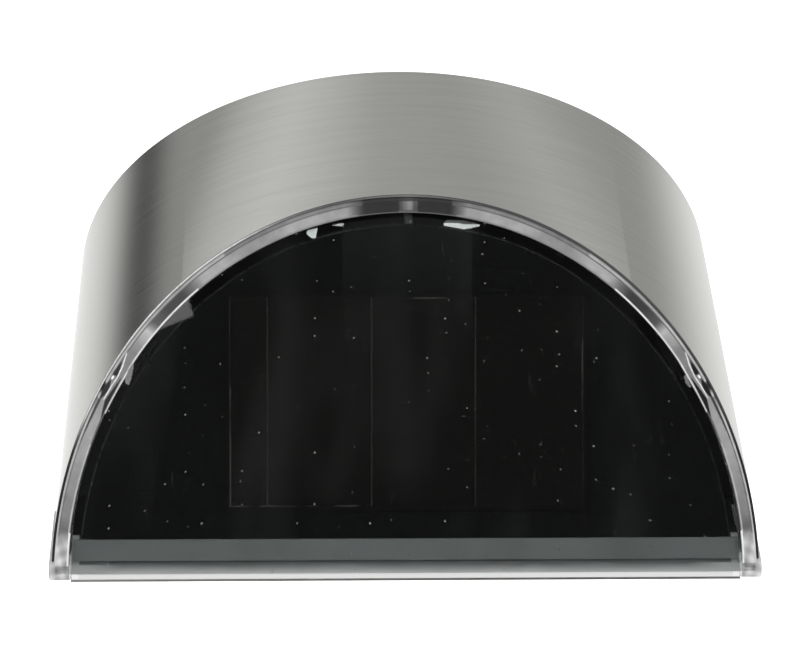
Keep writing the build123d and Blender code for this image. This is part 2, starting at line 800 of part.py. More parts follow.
def contact_leaf(wall_side, inward):
    """Flat contact against a bay end, with a pin through the end wall for its lead."""
    ends = sorted((wall_side, wall_side + inward * contact_thickness))
    add(box_between(ends, (battery_reach - contact_size / 2, battery_reach + contact_size / 2),
                    (battery_height - contact_size / 2, battery_height + contact_size / 2)))
    add(round_bar(bay_end(wall_side, -inward), terminal_radius, contact_pin))


# Battery contacts: a flat leaf for the nub and a tapered spring on its own leaf for the base
with BuildPart() as contact_plate:
    contact_leaf(bay_right, -1)
save(contact_plate, "contact_plate")

battery_base = nub_side - battery_length
spring_foot = bay_left + contact_thickness
spring_run = battery_base - spring_foot - spring_wire
half_turns = 2 * spring_turns


def spring_point(half_turn):
    """Point on the spring's centre line after a number of half turns, which may be a fraction."""
    share = half_turn / half_turns
    radius = spring_wide + (spring_narrow - spring_wide) * share
    turn = pi * half_turn
    return (spring_foot + spring_wire / 2 + spring_run * share, -battery_reach + radius * cos(turn),
            up(battery_height) + radius * sin(turn))


with BuildPart() as contact_spring:
    with BuildLine() as spring_line:
        for i in range(half_turns):
            ThreePointArc(spring_point(i), spring_point(i + 0.5), spring_point(i + 1))
    with BuildSketch(Plane(spring_line.line @ 0, z_dir=spring_line.line % 0)):
        Circle(spring_wire / 2)
    sweep()
    contact_leaf(bay_left, 1)
save(contact_spring, "contact_spring")

# The spring's coils keep clear of each other by this much
least_gap = min(
    sqrt(sum((a - b) ** 2 for a, b in zip(spring_point(i / 8), spring_point(i / 8 + 2))))
    for i in range(8 * (half_turns - 2))
) - spring_wire
print("least gap between spring coils", round(least_gap, 2))

# Switch: body in its frame, knob in a groove, three terminals
with BuildPart() as switch_body:
    add(box_between((switch_side - switch_length / 2, switch_side + switch_length / 2),
                    (back_front, back_front + switch_body_depth),
                    (switch_height - switch_width / 2, switch_height + switch_width / 2)))
    with BuildSketch(wall_point(switch_side, switch_height, back_front)):
        Rectangle(switch_travel + knob_length + 4 * switch_gap, knob_width + 2 * switch_gap)
    extrude(amount=knob_foot + switch_gap, mode=Mode.SUBTRACT)
    fillet(switch_body.edges().filter_by(Axis.Y).group_by(Axis.X)[0], switch_corner)
save(switch_body, "switch_body")
knob_side = switch_side - switch_travel / 2
with BuildPart() as switch_knob:
    add(box_between((knob_side - knob_length / 2, knob_side + knob_length / 2),
                    (knob_inset, back_front + knob_foot),
                    (switch_height - knob_width / 2, switch_height + knob_width / 2)))
    with BuildSketch(wall_point(knob_side, switch_height, knob_inset)):
        with GridLocations(knob_length / 3, 1, 2, 1):
            Rectangle(knob_groove, knob_width)
    extrude(amount=knob_groove_depth, mode=Mode.SUBTRACT)
save(switch_knob, "switch_knob")
terminal_start = back_front + switch_body_depth
with BuildPart() as switch_terminals:
    for i in (-1, 0, 1):
        add(round_bar(wall_point(switch_side + i * terminal_pitch, switch_height, terminal_start),
                      terminal_radius, terminal_length))
save(switch_terminals, "switch_terminals")

# Control board with its parts: charge and dusk-switch chip, coil and capacitor
board_top = boss_top + board_thickness
with BuildPart() as control_board:
    with BuildSketch(level(boss_top)):
        with Locations((0, -board_reach)):
            RectangleRounded(board_length, board_width, board_corner)
        with Locations((-board_screw_side, -board_reach), (board_screw_side, -board_reach)):
            Circle(small_shank + 4 * screw_gap, mode=Mode.SUBTRACT)
        with Locations((-led_lead_side, -lamp_reach), (led_lead_side, -lamp_reach)):
            Circle(wire_radius + screw_gap, mode=Mode.SUBTRACT)
    extrude(amount=board_thickness)
save(control_board, "control_board")
with BuildPart() as board_screws:
    for s in (-1, 1):
        spot = Plane((s * board_screw_side, -board_reach, up(board_top)), x_dir=(1, 0, 0), z_dir=(0, 0, -1))
        add(pan_screw(spot, small_shank, small_length, small_head, small_head_height))
save(board_screws, "board_screws")
with BuildPart() as control_chip:
    with BuildSketch(level(board_top + chip_lift)):
        with Locations(chip_spot):
            Rectangle(chip_length, chip_width)
    extrude(amount=chip_height)
    chamfer(control_chip.edges().group_by(Axis.Z)[-1], chip_edge)
    with BuildSketch(level(board_top)):
        with Locations(chip_spot):
            with GridLocations(chip_pin_pitch, chip_length, chip_pins, 2):
                Rectangle(chip_pin_width, chip_pin_length)
    extrude(amount=chip_pin_height)
save(control_chip, "control_chip")
coil_z = up(board_top) + coil_radius + coil_lift
with BuildPart() as coil:
    with BuildSketch(Plane((coil_start, -coil_reach, coil_z), x_dir=(0, 1, 0), z_dir=(1, 0, 0))):
        Circle(coil_radius)
    extrude(amount=coil_length)
    fillet(coil.edges().filter_by(GeomType.CIRCLE), coil_edge)
    for end, outward in ((coil_start, -1), (coil_start + coil_length, 1)):
        outer = end + outward * coil_leg_out
        inner = end - outward * coil_leg_in
        leg = Plane((outer, -coil_reach, up(board_top)), x_dir=(1, 0, 0), z_dir=(0, 0, 1))
        add(round_bar(leg, coil_leg, coil_z - up(board_top) + coil_leg))
        arm = Plane((min(outer, inner), -coil_reach, coil_z), x_dir=(0, 1, 0), z_dir=(1, 0, 0))
        add(round_bar(arm, coil_leg, abs(outer - inner)))
save(coil, "coil")
with BuildPart() as capacitor:
    with BuildSketch(level(board_top)):
        with Locations(capacitor_spot):
            Circle(capacitor_radius)
    extrude(amount=capacitor_height)
    fillet(capacitor.edges().group_by(Axis.Z)[-1], capacitor_edge)
save(capacitor, "capacitor")

# Light source under the housing floor: board, three emitters, two screws
with BuildPart() as led_board:
    with BuildSketch(level(floor_height)):
        with Locations((0, -lamp_reach)):
            RectangleRounded(lamp_length, lamp_width, board_corner)
        with Locations((-lamp_screw_side, -lamp_reach), (lamp_screw_side, -lamp_reach)):
            Circle(small_shank + 4 * screw_gap, mode=Mode.SUBTRACT)
    extrude(amount=-lamp_thickness)
save(led_board, "led_board")
with BuildPart() as led_emitters:
    with BuildSketch(level(floor_height - lamp_thickness)):
        with Locations((0, -lamp_reach)):
            with GridLocations(led_pitch, 1, led_count, 1):
                Rectangle(led_length, led_width)
    extrude(amount=-led_height)
    with BuildSketch(level(floor_height - lamp_thickness - led_height)):
        with Locations((0, -lamp_reach)):
            with GridLocations(led_pitch, 1, led_count, 1):
                Circle(led_width / 2 - led_rim)
    extrude(amount=led_dimple, mode=Mode.SUBTRACT)
save(led_emitters, "led_emitters")
with BuildPart() as led_screws:
    for s in (-1, 1):
        spot = Plane((s * lamp_screw_side, -lamp_reach, up(floor_height - lamp_thickness)),
                     x_dir=(1, 0, 0), z_dir=(0, 0, 1))
        add(pan_screw(spot, small_shank, small_length, small_head, small_head_height))
save(led_screws, "led_screws")

# Reflector: white half-oval dish under the light source
rim_height = floor_height - reflector_rim_drop
dish_top = floor_height - reflector_top_drop
rim_side = band_inner_side - reflector_rim_inset
rim_reach = band_inner_reach - reflector_rim_inset
dish_back = housing_back + fit_gap


def dish(inset, low, high):
    """Dish-shaped loft from its wide rim to its narrower top, drawn in by an inset."""
    drawn_in = reflector_slope + inset
    with BuildPart() as body:
        loft([
            half_oval(level(low), rim_side - inset, rim_reach - inset, dish_back + inset),
            half_oval(level(high), rim_side - drawn_in, rim_reach - drawn_in, dish_back + inset),
        ])
    return body.part


dish_outer = dish(0, rim_height, dish_top)
dish_inner = dish(reflector_wall, rim_height, dish_top - reflector_wall)
with BuildPart() as reflector:
    add(dish_outer)
    add(dish_inner, mode=Mode.SUBTRACT)
    with BuildSketch(level(dish_top + reflector_wall)):
        with Locations((0, -lamp_reach)):
            Rectangle(lamp_length + 2 * lamp_opening_gap, lamp_width + 2 * lamp_opening_gap)
    extrude(amount=-3 * reflector_wall, mode=Mode.SUBTRACT)
save(reflector, "reflector")

# Bottom lens: plate with a standing wall inside the band
lens_outer = (ledge_side, ledge_reach)
lens_inner = (lens_outer[0] - lens_wall, lens_outer[1] - lens_wall)
lens_back = back_front + face_gap
with BuildPart() as bottom_lens:
    extrude(half_oval(level(lens_lift), *lens_outer, lens_back), amount=rim_height - lens_lift)
    extrude(half_oval(level(lens_lift + lens_thickness), *lens_inner, lens_back + lens_wall), amount=tall,
            mode=Mode.SUBTRACT)
    with BuildSketch(upright(0)):
        with Locations(*[(s * half_width, up(0)) for s in (-1, 1)]):
            Rectangle(2 * (band_return + band_thickness), wall_height)
    extrude(amount=back_front + 2 * band_thickness, mode=Mode.SUBTRACT)
save(bottom_lens, "bottom_lens")


def lead(name, points):
    """Insulated wire along straight runs joined by the largest arcs that the runs allow."""
    spots = [Vector(*p) for p in points]
    radii = []
    for before, corner, after in zip(spots[:-2], spots[1:-1], spots[2:]):
        run_in = corner - before
        run_out = after - corner
        turn = radians(run_in.get_angle(run_out))
        radii.append(wire_arc_share * min(run_in.length, run_out.length) / tan(turn / 2))
    print(name, "radii", [round(r, 1) for r in radii])
    with BuildPart() as wire:
        with BuildLine() as path:
            FilletPolyline(*spots, radius=radii)
        with BuildSketch(Plane(path.line @ 0, z_dir=path.line % 0)):
            Circle(wire_radius)
        sweep()
    save(wire, name)


# Leads: cell to board, battery to board, switch to board
board_z = up(board_top)
solder_depth = cell_top + sum(cell_stack)
for name, s in (("solar_lead_red", 1), ("solar_lead_black", -1)):
    lead(name, [
        face_point(s * solder_side, cell_down, solder_depth),
        face_point(s * solder_side, cell_down, solder_depth + 6.0),
        (s * 22.0, -17.3, up(38.5)),
        (s * 15.5, -18.4, up(31.5)),
        (s * 13.2, -19.0, up(27.5)),
        (s * 13.2, -19.0, board_z),
    ])
pin_z = up(pin_height)
lead("battery_lead_red", [
    (bay_right + contact_pin, -battery_reach, pin_z),
    (bay_right + contact_pin + 4.0, -battery_reach, pin_z),
    (bay_right + contact_pin + 3.6, -battery_reach - 7.0, pin_z - 0.3),
    (bay_right + contact_pin - 1.5, -battery_reach - 12.6, pin_z - 4.6),
    (10.0, -23.0, pin_z - 6.6),
    (8.0, -23.0, board_z + 3.0),
    (8.0, -23.0, board_z),
])
lead("battery_lead_black", [
    (bay_left - contact_pin, -battery_reach, pin_z),
    (bay_left - contact_pin - 4.0, -battery_reach, pin_z),
    (bay_left - contact_pin - 3.0, -battery_reach - 7.0, pin_z - 0.3),
    (-31.0, -20.5, pin_z - 2.0),
    (-22.0, -25.0, pin_z - 4.5),
    (-13.5, -29.5, board_z + 4.0),
    (-13.5, -29.5, board_z),
])
pin_reach = terminal_start + terminal_length
switch_z = up(switch_height)
for name, offset, landing in (("switch_lead_in", -terminal_pitch, 26.0), ("switch_lead_out", 0.0, 29.5)):
    lead(name, [
        (switch_side + offset, -pin_reach, switch_z),
        (switch_side + offset, -pin_reach - 4.0, switch_z),
        (switch_side + offset - 2.5, -pin_reach - 9.0, switch_z - 0.5 - offset / 5),
        (switch_side + offset - 8.0, -pin_reach - 13.0, switch_z - 1.2 - offset / 5),
        (20.0, -landing + 1.0, switch_z - 2.2 - offset / 5),
        (13.8, -landing - 0.5, board_z + 3.0),
        (13.8, -landing - 0.5, board_z),
    ])

# Light-source leads: two straight pins from the control board to the light-source board
with BuildPart() as led_leads:
    for x in (-led_lead_side, led_lead_side):
        add(round_bar(Plane((x, -lamp_reach, up(floor_height)), x_dir=(1, 0, 0), z_dir=(0, 0, 1)),
                      wire_radius, board_top - floor_height + led_lead_end))
save(led_leads, "led_leads")
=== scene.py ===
from math import cos, pi, radians, sin

import bpy
import bmesh
import numpy as np
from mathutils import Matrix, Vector

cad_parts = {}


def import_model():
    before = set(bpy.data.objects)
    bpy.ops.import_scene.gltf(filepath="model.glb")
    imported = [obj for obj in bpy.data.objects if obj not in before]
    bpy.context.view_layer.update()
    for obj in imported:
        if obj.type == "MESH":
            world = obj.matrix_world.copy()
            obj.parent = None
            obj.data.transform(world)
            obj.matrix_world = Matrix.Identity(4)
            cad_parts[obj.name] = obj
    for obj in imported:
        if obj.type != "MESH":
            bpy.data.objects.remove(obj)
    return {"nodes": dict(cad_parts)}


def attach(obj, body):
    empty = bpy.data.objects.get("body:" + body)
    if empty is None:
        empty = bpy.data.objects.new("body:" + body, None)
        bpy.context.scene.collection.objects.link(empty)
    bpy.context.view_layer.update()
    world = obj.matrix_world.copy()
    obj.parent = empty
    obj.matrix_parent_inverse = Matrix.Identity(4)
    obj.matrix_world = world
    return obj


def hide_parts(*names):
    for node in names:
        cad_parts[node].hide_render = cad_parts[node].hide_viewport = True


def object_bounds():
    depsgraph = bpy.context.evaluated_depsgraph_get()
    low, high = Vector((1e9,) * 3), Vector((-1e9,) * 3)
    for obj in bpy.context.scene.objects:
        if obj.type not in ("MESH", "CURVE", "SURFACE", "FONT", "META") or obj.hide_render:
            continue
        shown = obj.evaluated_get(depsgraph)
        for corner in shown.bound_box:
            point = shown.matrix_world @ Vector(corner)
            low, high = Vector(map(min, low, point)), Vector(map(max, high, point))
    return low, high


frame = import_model()
lowCad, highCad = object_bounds()
print("frame loaded", len(frame["nodes"]), "nodes")

# Sizes are in millimetres here and become metres on the way into a mesh.
# Y = 0 is the fence, the light stands out towards -Y, Z = 0 is the height of the keyhole seats.
# "Down" is a distance down the slanted solar face from the fence, "depth" one square to it, inwards.
body = {
    "wallHeight": 71.7, "mountHeight": 54.5, "faceAngle": 40.6,
    "band": (55.0, 45.3), "bandSheet": 0.3, "backFront": 2.3,
    "cover": (54.6, 44.9), "skirt": (52.4, 42.35), "tray": (51.0, 55.454),
}
topZ = body["wallHeight"] - body["mountHeight"]
faceSin, faceCos = sin(radians(body["faceAngle"])), cos(radians(body["faceAngle"]))
faceTan = faceSin / faceCos


def faceHeight(y, depth):
    # height of the slanted solar face above a place Y, lowered square to it by a depth
    return topZ + y * faceTan - depth / faceCos


def facePoint(side, down, depth):
    # a point given by side, distance down the slope and depth under the face
    return np.stack(np.broadcast_arrays(
        side, -down * faceCos + depth * faceSin, topZ - down * faceSin - depth * faceCos), axis=-1)


def ovalPath(side, reach, setback, steps):
    # half-ellipse (side cos t, -reach sin t), from the +X end to the -X end, cut off at Y = -setback
    start = np.arcsin(setback / reach)
    t = np.linspace(start, pi - start, steps)
    return np.stack([side * np.cos(t), -reach * np.sin(t)], axis=-1)


def greyLinear(grey):
    # sRGB grey from 0 to 255, as a number or an array, to the linear value that shaders use
    c = np.asarray(grey) / 255
    return np.where(c <= 0.04045, c / 12.92, ((c + 0.055) / 1.055) ** 2.4)


def linear(code):
    # sRGB hex to the linear colour that shaders use
    return (*greyLinear(np.array([int(code[i:i + 2], 16) for i in (0, 2, 4)])).tolist(), 1.0)


def softStep(value, start, end):
    # 0 before the start, 1 past the end, and an even rise between
    return np.clip((value - start) / (end - start), 0, 1)


def tube(grid):
    # faces of a grid (along, round, 3) whose second direction closes on itself, with flat end caps
    n, m = grid.shape[:2]
    i, j = np.meshgrid(np.arange(n - 1), np.arange(m), indexing="ij")
    k = (j + 1) % m
    quads = np.stack([i * m + j, i * m + k, (i + 1) * m + k, (i + 1) * m + j], axis=-1).reshape(-1, 4)
    caps = [tuple(range(m)), tuple(range((n - 1) * m, n * m))]
    return [tuple(q) for q in quads.tolist()] + caps


def meshFrom(name, parts, smoothAngle=35.0, marks=()):
    # one object from loose parts, each of points in mm, faces, and a column of values for each mark
    points, faces, values, base = [], [], [], 0
    for p, f, *v in parts:
        points.append(np.asarray(p).reshape(-1, 3))
        faces += [tuple(int(i) + base for i in poly) for poly in f]
        values.append(np.asarray(v[0]).reshape(-1, len(marks)) if marks else None)
        base += len(points[-1])
    mesh = bpy.data.meshes.new(name)
    mesh.from_pydata((np.concatenate(points) / 1000).tolist(), [], faces)
    for column, mark in enumerate(marks):
        layer = mesh.attributes.new(mark, "FLOAT", "POINT")
        layer.data.foreach_set("value", np.concatenate(values)[:, column].astype(np.float32))
    bm = bmesh.new()
    bm.from_mesh(mesh)
    bmesh.ops.remove_doubles(bm, verts=bm.verts, dist=2e-6)
    bmesh.ops.dissolve_degenerate(bm, edges=bm.edges, dist=2e-6)
    bmesh.ops.recalc_face_normals(bm, faces=bm.faces)
    bm.to_mesh(mesh)
    bm.free()
    mesh.shade_smooth()
    mesh.set_sharp_from_angle(angle=radians(smoothAngle))
    obj = bpy.data.objects.new(name, mesh)
    bpy.context.scene.collection.objects.link(obj)
    return obj


def slantedBlock(sides, reaches, depths, soft=0.15, steps=(5, 5)):
    # closed block under the face between two sides, two reaches and two depths: a loop in Y and Z is
    # carried along X, drawn in at both ends and at its corners so that every edge is eased
    x, y = (np.concatenate([[start], np.linspace(start + soft, end - soft, count), [end]])
            for (start, end), count in zip((sides, reaches), steps))
    ease = np.zeros(len(y))
    ease[[0, -1]] = soft
    loopY = -np.concatenate([y, y[::-1]])
    loopDepth = np.concatenate([depths[0] + ease, depths[1] - ease])
    middle = np.array([loopY.mean(), loopDepth.mean()])
    pull = np.zeros((len(x), 1))
    pull[[0, -1]] = soft
    gridY = loopY + np.sign(middle[0] - loopY) * pull
    gridDepth = loopDepth + np.sign(middle[1] - loopDepth) * pull
    gridX = np.broadcast_to(x[:, None], gridY.shape)
    return np.stack([gridX, gridY, faceHeight(gridY, gridDepth)], axis=-1)


def fillInputs(node, inputs):
    # gives a node's sockets, by name or in order, a plain value or the output of another node
    for key, value in inputs.items() if isinstance(inputs, dict) else enumerate(inputs):
        if isinstance(value, bpy.types.NodeSocket):
            node.id_data.links.new(value, node.inputs[key])
        else:
            node.inputs[key].default_value = value


def addNode(tree, kind, inputs=(), output=0, **settings):
    # adds a node, sets its properties, fills its sockets and gives back one of its outputs; a Mix of
    # colours has its share in socket 0, its colours in sockets 6 and 7 and the blend in output 2
    node = tree.nodes.new("ShaderNode" + kind)
    for name, value in settings.items():
        setattr(node, name, value)
    fillInputs(node, inputs)
    return node.outputs[output]


def setStops(scale, stops):
    # gives a colour ramp its stops, each a place from 0 to 1 and a linear colour; the first is at 0
    elements = scale.node.color_ramp.elements
    elements.remove(elements[1])
    for place, colour in stops[1:]:
        elements.new(place).color = colour
    elements[0].color = stops[0][1]


def startMaterial(name):
    # a new material, its node tree and its Principled shader
    material = bpy.data.materials.new(name)
    material.use_nodes = True
    return material, material.node_tree, material.node_tree.nodes["Principled BSDF"]


def placed(tree, perMm, turn=0.0):
    # Object coordinates with repeats per millimetre along each axis, after a turn about X in degrees
    place = addNode(tree, "TexCoord", output="Object")
    turned = addNode(tree, "Mapping", {"Vector": place, "Rotation": (radians(turn), 0, 0)})
    return addNode(tree, "Mapping", {"Vector": turned, "Scale": tuple(1000 * s for s in perMm)})


def mottling(tree, perMm, detail=2.0, turn=0.0):
    # soft random patches from 0 to 1, their size on each axis given as repeats per millimetre
    return addNode(tree, "TexNoise", {
        "Vector": placed(tree, perMm, turn), "Scale": 1.0, "Detail": detail, "Roughness": 0.55})


def faceParts(tree):
    # Object coordinates turned flat on the slanted face: X, Y up the slope and Z square out of it
    place = addNode(tree, "TexCoord", output="Object")
    turned = addNode(tree, "Mapping", {"Vector": place, "Rotation": (radians(-body["faceAngle"]), 0, 0)})
    return addNode(tree, "SeparateXYZ", (turned,)).node.outputs


# in those turned coordinates the face lies at Z = faceLevel, and its line at the fence at Y = fenceLine
faceLevel, fenceLine = topZ * faceCos, topZ * faceSin
mostNoise = (0.3, 0.7)  # nearly all of a mottling's values lie between these


def scaled(colour, share):
    # a linear colour made lighter or darker
    return (*(min(c * share, 1.0) for c in colour[:3]), 1.0)


def plasticMaterial(name, colour, roughness, speckle=0.04, bump=0.02, grain=2.0):
    # moulded plastic: even colour with a trace of mottling, and a fine moulded grain in the gloss
    material, tree, shader = startMaterial(name)
    base = linear(colour)
    cloud, fine = mottling(tree, (0.08,) * 3), mottling(tree, (grain,) * 3)
    tint = {0: cloud, 6: scaled(base, 1 - speckle), 7: scaled(base, 1 + speckle)}
    gloss = (fine, *mostNoise, roughness * 0.85, min(roughness * 1.15, 1))
    fillInputs(shader, {
        "Base Color": addNode(tree, "Mix", tint, 2, data_type="RGBA"),
        "Roughness": addNode(tree, "MapRange", gloss),
        "Normal": addNode(tree, "Bump", {"Height": fine, "Strength": bump, "Distance": 0.0001})})
    return material


def metalMaterial(name, colour, roughness, grain=(0.4, 8.0, 8.0)):
    # rolled or plated metal: faint drawn lines in colour and gloss
    material, tree, shader = startMaterial(name)
    base = linear(colour)
    lines = mottling(tree, grain, 4.0)
    tint = {0: lines, 6: scaled(base, 0.9), 7: scaled(base, 1.1)}
    fillInputs(shader, {
        "Metallic": 1.0, "Base Color": addNode(tree, "Mix", tint, 2, data_type="RGBA"),
        "Roughness": addNode(tree, "MapRange", (lines, *mostNoise, roughness * 0.8, roughness * 1.25))})
    return material


bandLook = {
    "colour": "bcbcb8", "tint": (0.92, 1.08), "roughness": 0.23, "anisotropy": 0.88, "bump": 0.02,
    # repeats per metre round the band and up it: of the brushed lines, and of broader streaks
    "lines": (60.0, 9000.0), "streaks": (25.0, 900.0), "span": (0.6, 1.4),
}


def brushedBandMaterial():
    # brushed stainless sheet: fine lines run round the band, so gloss spreads up and down it
    c = bandLook
    material, tree, shader = startMaterial("brushedStainlessBand")
    place = addNode(tree, "UVMap", uv_map="bandLines")
    layers = []
    for along, across in (c["lines"], c["streaks"]):
        stretched = addNode(tree, "Mapping", {"Vector": place, "Scale": (along, across, 1.0)})
        layers.append(addNode(tree, "TexNoise", {
            "Vector": stretched, "Scale": 1.0, "Detail": 3.0, "Roughness": 0.65}))
    both = addNode(tree, "Math", layers, operation="ADD")
    dark, light = (scaled(linear(c["colour"]), share) for share in c["tint"])
    tint = {0: addNode(tree, "MapRange", (both, *c["span"], 0.0, 1.0)), 6: dark, 7: light}
    gloss = (both, *c["span"], c["roughness"] * 0.92, c["roughness"] * 1.1)
    fillInputs(shader, {
        "Metallic": 1.0, "Anisotropic": c["anisotropy"], "Anisotropic Rotation": 0.25,
        "Tangent": addNode(tree, "Tangent", direction_type="UV_MAP", uv_map="bandLines"),
        "Base Color": addNode(tree, "Mix", tint, 2, data_type="RGBA"),
        "Roughness": addNode(tree, "MapRange", gloss),
        "Normal": addNode(tree, "Bump", {"Height": layers[0], "Strength": c["bump"], "Distance": 0.00005})})
    return material


def shearedEdgeMaterial():
    # cut edge of the steel sheet, with painted reflection: the grey round the edge is a mark on the mesh,
    # a painted reflection that is light on some stretches and dark on others, times a faint random tone
    # that also sets the gloss
    material, tree, shader = startMaterial("stainlessEdgePaintedReflection")
    grey = addNode(tree, "Attribute", output="Fac", attribute_name="edgeReflectionGrey")
    torn = addNode(tree, "MapRange", (mottling(tree, (3.0,) * 3), 0.35, 0.65, 0.88, 1.12))
    fillInputs(shader, {
        "Metallic": 0.2, "Base Color": addNode(tree, "Math", (grey, torn), operation="MULTIPLY"),
        "Roughness": addNode(tree, "MapRange", (torn, 0.88, 1.12, 0.55, 0.4))})
    return material


def clipMaterial():
    # white moulded clip with painted shade: its front facet painted grey as shade and its top left light,
    # by a mark on the mesh, with a moulded grain
    material, tree, shader = startMaterial("whiteTrayClipPaintedShade")
    grey = addNode(tree, "Attribute", output="Fac", attribute_name="clipPaintedShade")
    mottled = addNode(tree, "MapRange", (mottling(tree, (1.2,) * 3), *mostNoise, 0.95, 1.03))
    grain = mottling(tree, (4.0,) * 3)
    fillInputs(shader, {
        "Roughness": 0.4, "Base Color": addNode(tree, "Math", (grey, mottled), operation="MULTIPLY"),
        "Normal": addNode(tree, "Bump", {"Height": grain, "Strength": 0.03, "Distance": 0.0001})})
    return material


def clearMaterial(name, colour, roughness):
    # clear moulded plastic or glass with the faintest ripple in its surface
    material, tree, shader = startMaterial(name)
    ripple, fine = mottling(tree, (0.25,) * 3), mottling(tree, (1.5,) * 3)
    fillInputs(shader, {
        "Base Color": linear(colour), "Transmission Weight": 1.0, "IOR": 1.49,
        "Roughness": addNode(tree, "MapRange", (fine, *mostNoise, roughness * 0.6, roughness * 1.6)),
        "Normal": addNode(tree, "Bump", {"Height": ripple, "Strength": 0.03, "Distance": 0.0002})})
    return material


coverLook = {
    # colours of the pane and its dust, gloss of pane and ring, how opaque the ring is made to carry its
    # painted light, and the swing of streaks in that painted light
    "colour": "f4f8f7", "dustColour": "b8b8b6", "gloss": (0.015, 0.3), "ringPaintShare": 0.93,
    "ringLightStreaks": (0.86, 1.12),
    # dust: pitch of the grid and size of the largest speck in mm, share of its cells that have one,
    # and how milky the faintest and the plainest are
    "speckPitch": 2.9, "speckSize": 0.14, "speckShare": 0.5, "speckMilk": (0.08, 0.45),
    # wiping marks, soft patches and then sharper strokes: repeats per millimetre across and down the
    # slope, the noise at which they start and are full, and how milky they are
    "wiped": (((0.07, 0.022, 0.0), 0.5, 0.75, 0.006), ((0.6, 0.14, 0.0), 0.7, 0.8, 0.02)),
}


def clearCoverMaterial():
    # clear polycarbonate: still clear over the solar face, with dust, faint wiping marks and a film of
    # haze; the moulded ring round it is made nearly opaque and carries painted light: the light that the
    # clear ring catches inside and its reflections are painted as a grey mark, laid on where the mark
    # "ringCover" is 1
    c, turn = coverLook, -body["faceAngle"]
    material, tree, shader = startMaterial("clearMouldedCover")
    grey, cover = (addNode(tree, "Attribute", output="Fac", attribute_name=mark)
                   for mark in ("ringPaintedGrey", "ringCover"))
    # dust: one round speck in some cells of a grid, most of them very small
    grid = {"Vector": placed(tree, (1.0, 1.0, 0.0), turn), "Scale": 1 / c["speckPitch"]}
    fromMiddle = addNode(tree, "TexVoronoi", grid, "Distance", voronoi_dimensions="2D")
    chance = addNode(tree, "SeparateColor", (fromMiddle.node.outputs["Color"],)).node.outputs
    size = (chance[0], 1 - c["speckShare"], 1.0, 0.0, c["speckSize"] / c["speckPitch"])
    speck = addNode(tree, "Math", (fromMiddle, addNode(tree, "MapRange", size)), operation="LESS_THAN")
    plain = addNode(tree, "MapRange", (chance[1], 0.0, 1.0, *c["speckMilk"]))
    dust = addNode(tree, "Math", (speck, plain), operation="MULTIPLY")
    marks = []
    for perMm, start, full, strength in c["wiped"]:
        share = addNode(tree, "MapRange", (mottling(tree, perMm, 2.0, turn), start, full, 0.0, 1.0))
        marks.append(addNode(tree, "Math", (share, strength), operation="MULTIPLY"))
    haze = addNode(tree, "Math", marks, operation="ADD")
    soiled = addNode(tree, "Math", (haze, dust), operation="ADD")
    # the ring is made nearly opaque so that its painted light shows
    ringPaintOpacity = addNode(tree, "Math", (cover, c["ringPaintShare"]), operation="MULTIPLY")
    dustAndRingPaint = addNode(tree, "Math", (ringPaintOpacity, soiled), operation="MAXIMUM")
    dustAndRingTint = addNode(tree, "MapRange", (dustAndRingPaint, 0.0, 0.02, 0.0, 1.0))
    pane = {0: dustAndRingTint, 6: linear(c["colour"]), 7: linear(c["dustColour"])}
    # streaks in the ring's painted light
    streaks = addNode(tree, "MapRange", (mottling(tree, (0.5,) * 3, 3.0), *mostNoise, *c["ringLightStreaks"]))
    ringTone = addNode(tree, "Math", (grey, streaks), operation="MULTIPLY")
    tone = {0: cover, 6: addNode(tree, "Mix", pane, 2, data_type="RGBA"), 7: ringTone}
    fillInputs(shader, {
        "IOR": 1.49, "Transmission Weight": addNode(tree, "Math", (1.0, dustAndRingPaint), operation="SUBTRACT"),
        "Base Color": addNode(tree, "Mix", tone, 2, data_type="RGBA"),
        "Roughness": addNode(tree, "MapRange", (cover, 0.0, 1.0, *c["gloss"]))})
    return material


endLook = {
    # painted shade down the end wall: greys of its top, middle and foot, the wall's depth, and a wave in it
    "top": "dadbda", "middle": "a9aaaa", "foot": "6c6d6e", "wall": 1.5, "wave": 0.1,
    # sides at which the painted light near the corners starts and is full, how much it shows, and its colour
    "glow": (44.0, 49.5), "glowShare": 0.8, "glowColour": "c9cac9",
}


def coverEndMaterial():
    # end wall of the clear cover, nearly opaque, with painted shade: light at its top, painted shade down
    # to grey at its foot, and painted light near the corners
    c = endLook
    material, tree, shader = startMaterial("coverEndPaintedShade")
    parts = faceParts(tree)
    wavy = addNode(tree, "MapRange", (mottling(tree, (0.08, 0.3, 0.3)), *mostNoise, -c["wave"], c["wave"]))
    ends = (faceLevel / 1000, (faceLevel - c["wall"]) / 1000)
    depth = addNode(tree, "MapRange", (parts["Z"], *ends, 0.0, 1.0))
    fall = addNode(tree, "ValToRGB", (addNode(tree, "Math", (depth, wavy), operation="ADD"),))
    setStops(fall, ((0.0, linear(c["top"])), (0.5, linear(c["middle"])), (1.0, linear(c["foot"]))))
    side = addNode(tree, "Math", (parts["X"],), operation="ABSOLUTE")
    near = addNode(tree, "MapRange", (side, *(g / 1000 for g in c["glow"]), 0.0, c["glowShare"]))
    tone = {0: near, 6: fall, 7: linear(c["glowColour"])}
    fillInputs(shader, {
        "IOR": 1.49, "Roughness": 0.3, "Transmission Weight": 0.05,
        "Base Color": addNode(tree, "Mix", tone, 2, data_type="RGBA")})
    return material


lipLook = {
    "body": ("e0e1e1", "e8e9e9"),
    # painted shade along the rail: distances down the slope where it starts and ends, depths under the face
    # at which it is gone and full, its colours down the slope, and its share near the corners
    "start": 0.9, "end": 3.2, "depth": (3.5, 2.5), "near": "cdcdcc", "middle": "8f9091", "far": "505153",
    "middleAt": 0.45, "cornerSide": 50.8, "cornerShare": 0.5,
    # painted shade on the inner face, which is dark: it starts at this Y, and lies under these depths
    "inner": "131313", "innerFrom": -2.28, "innerSoft": 0.05, "innerDepth": (2.8, 2.6),
}


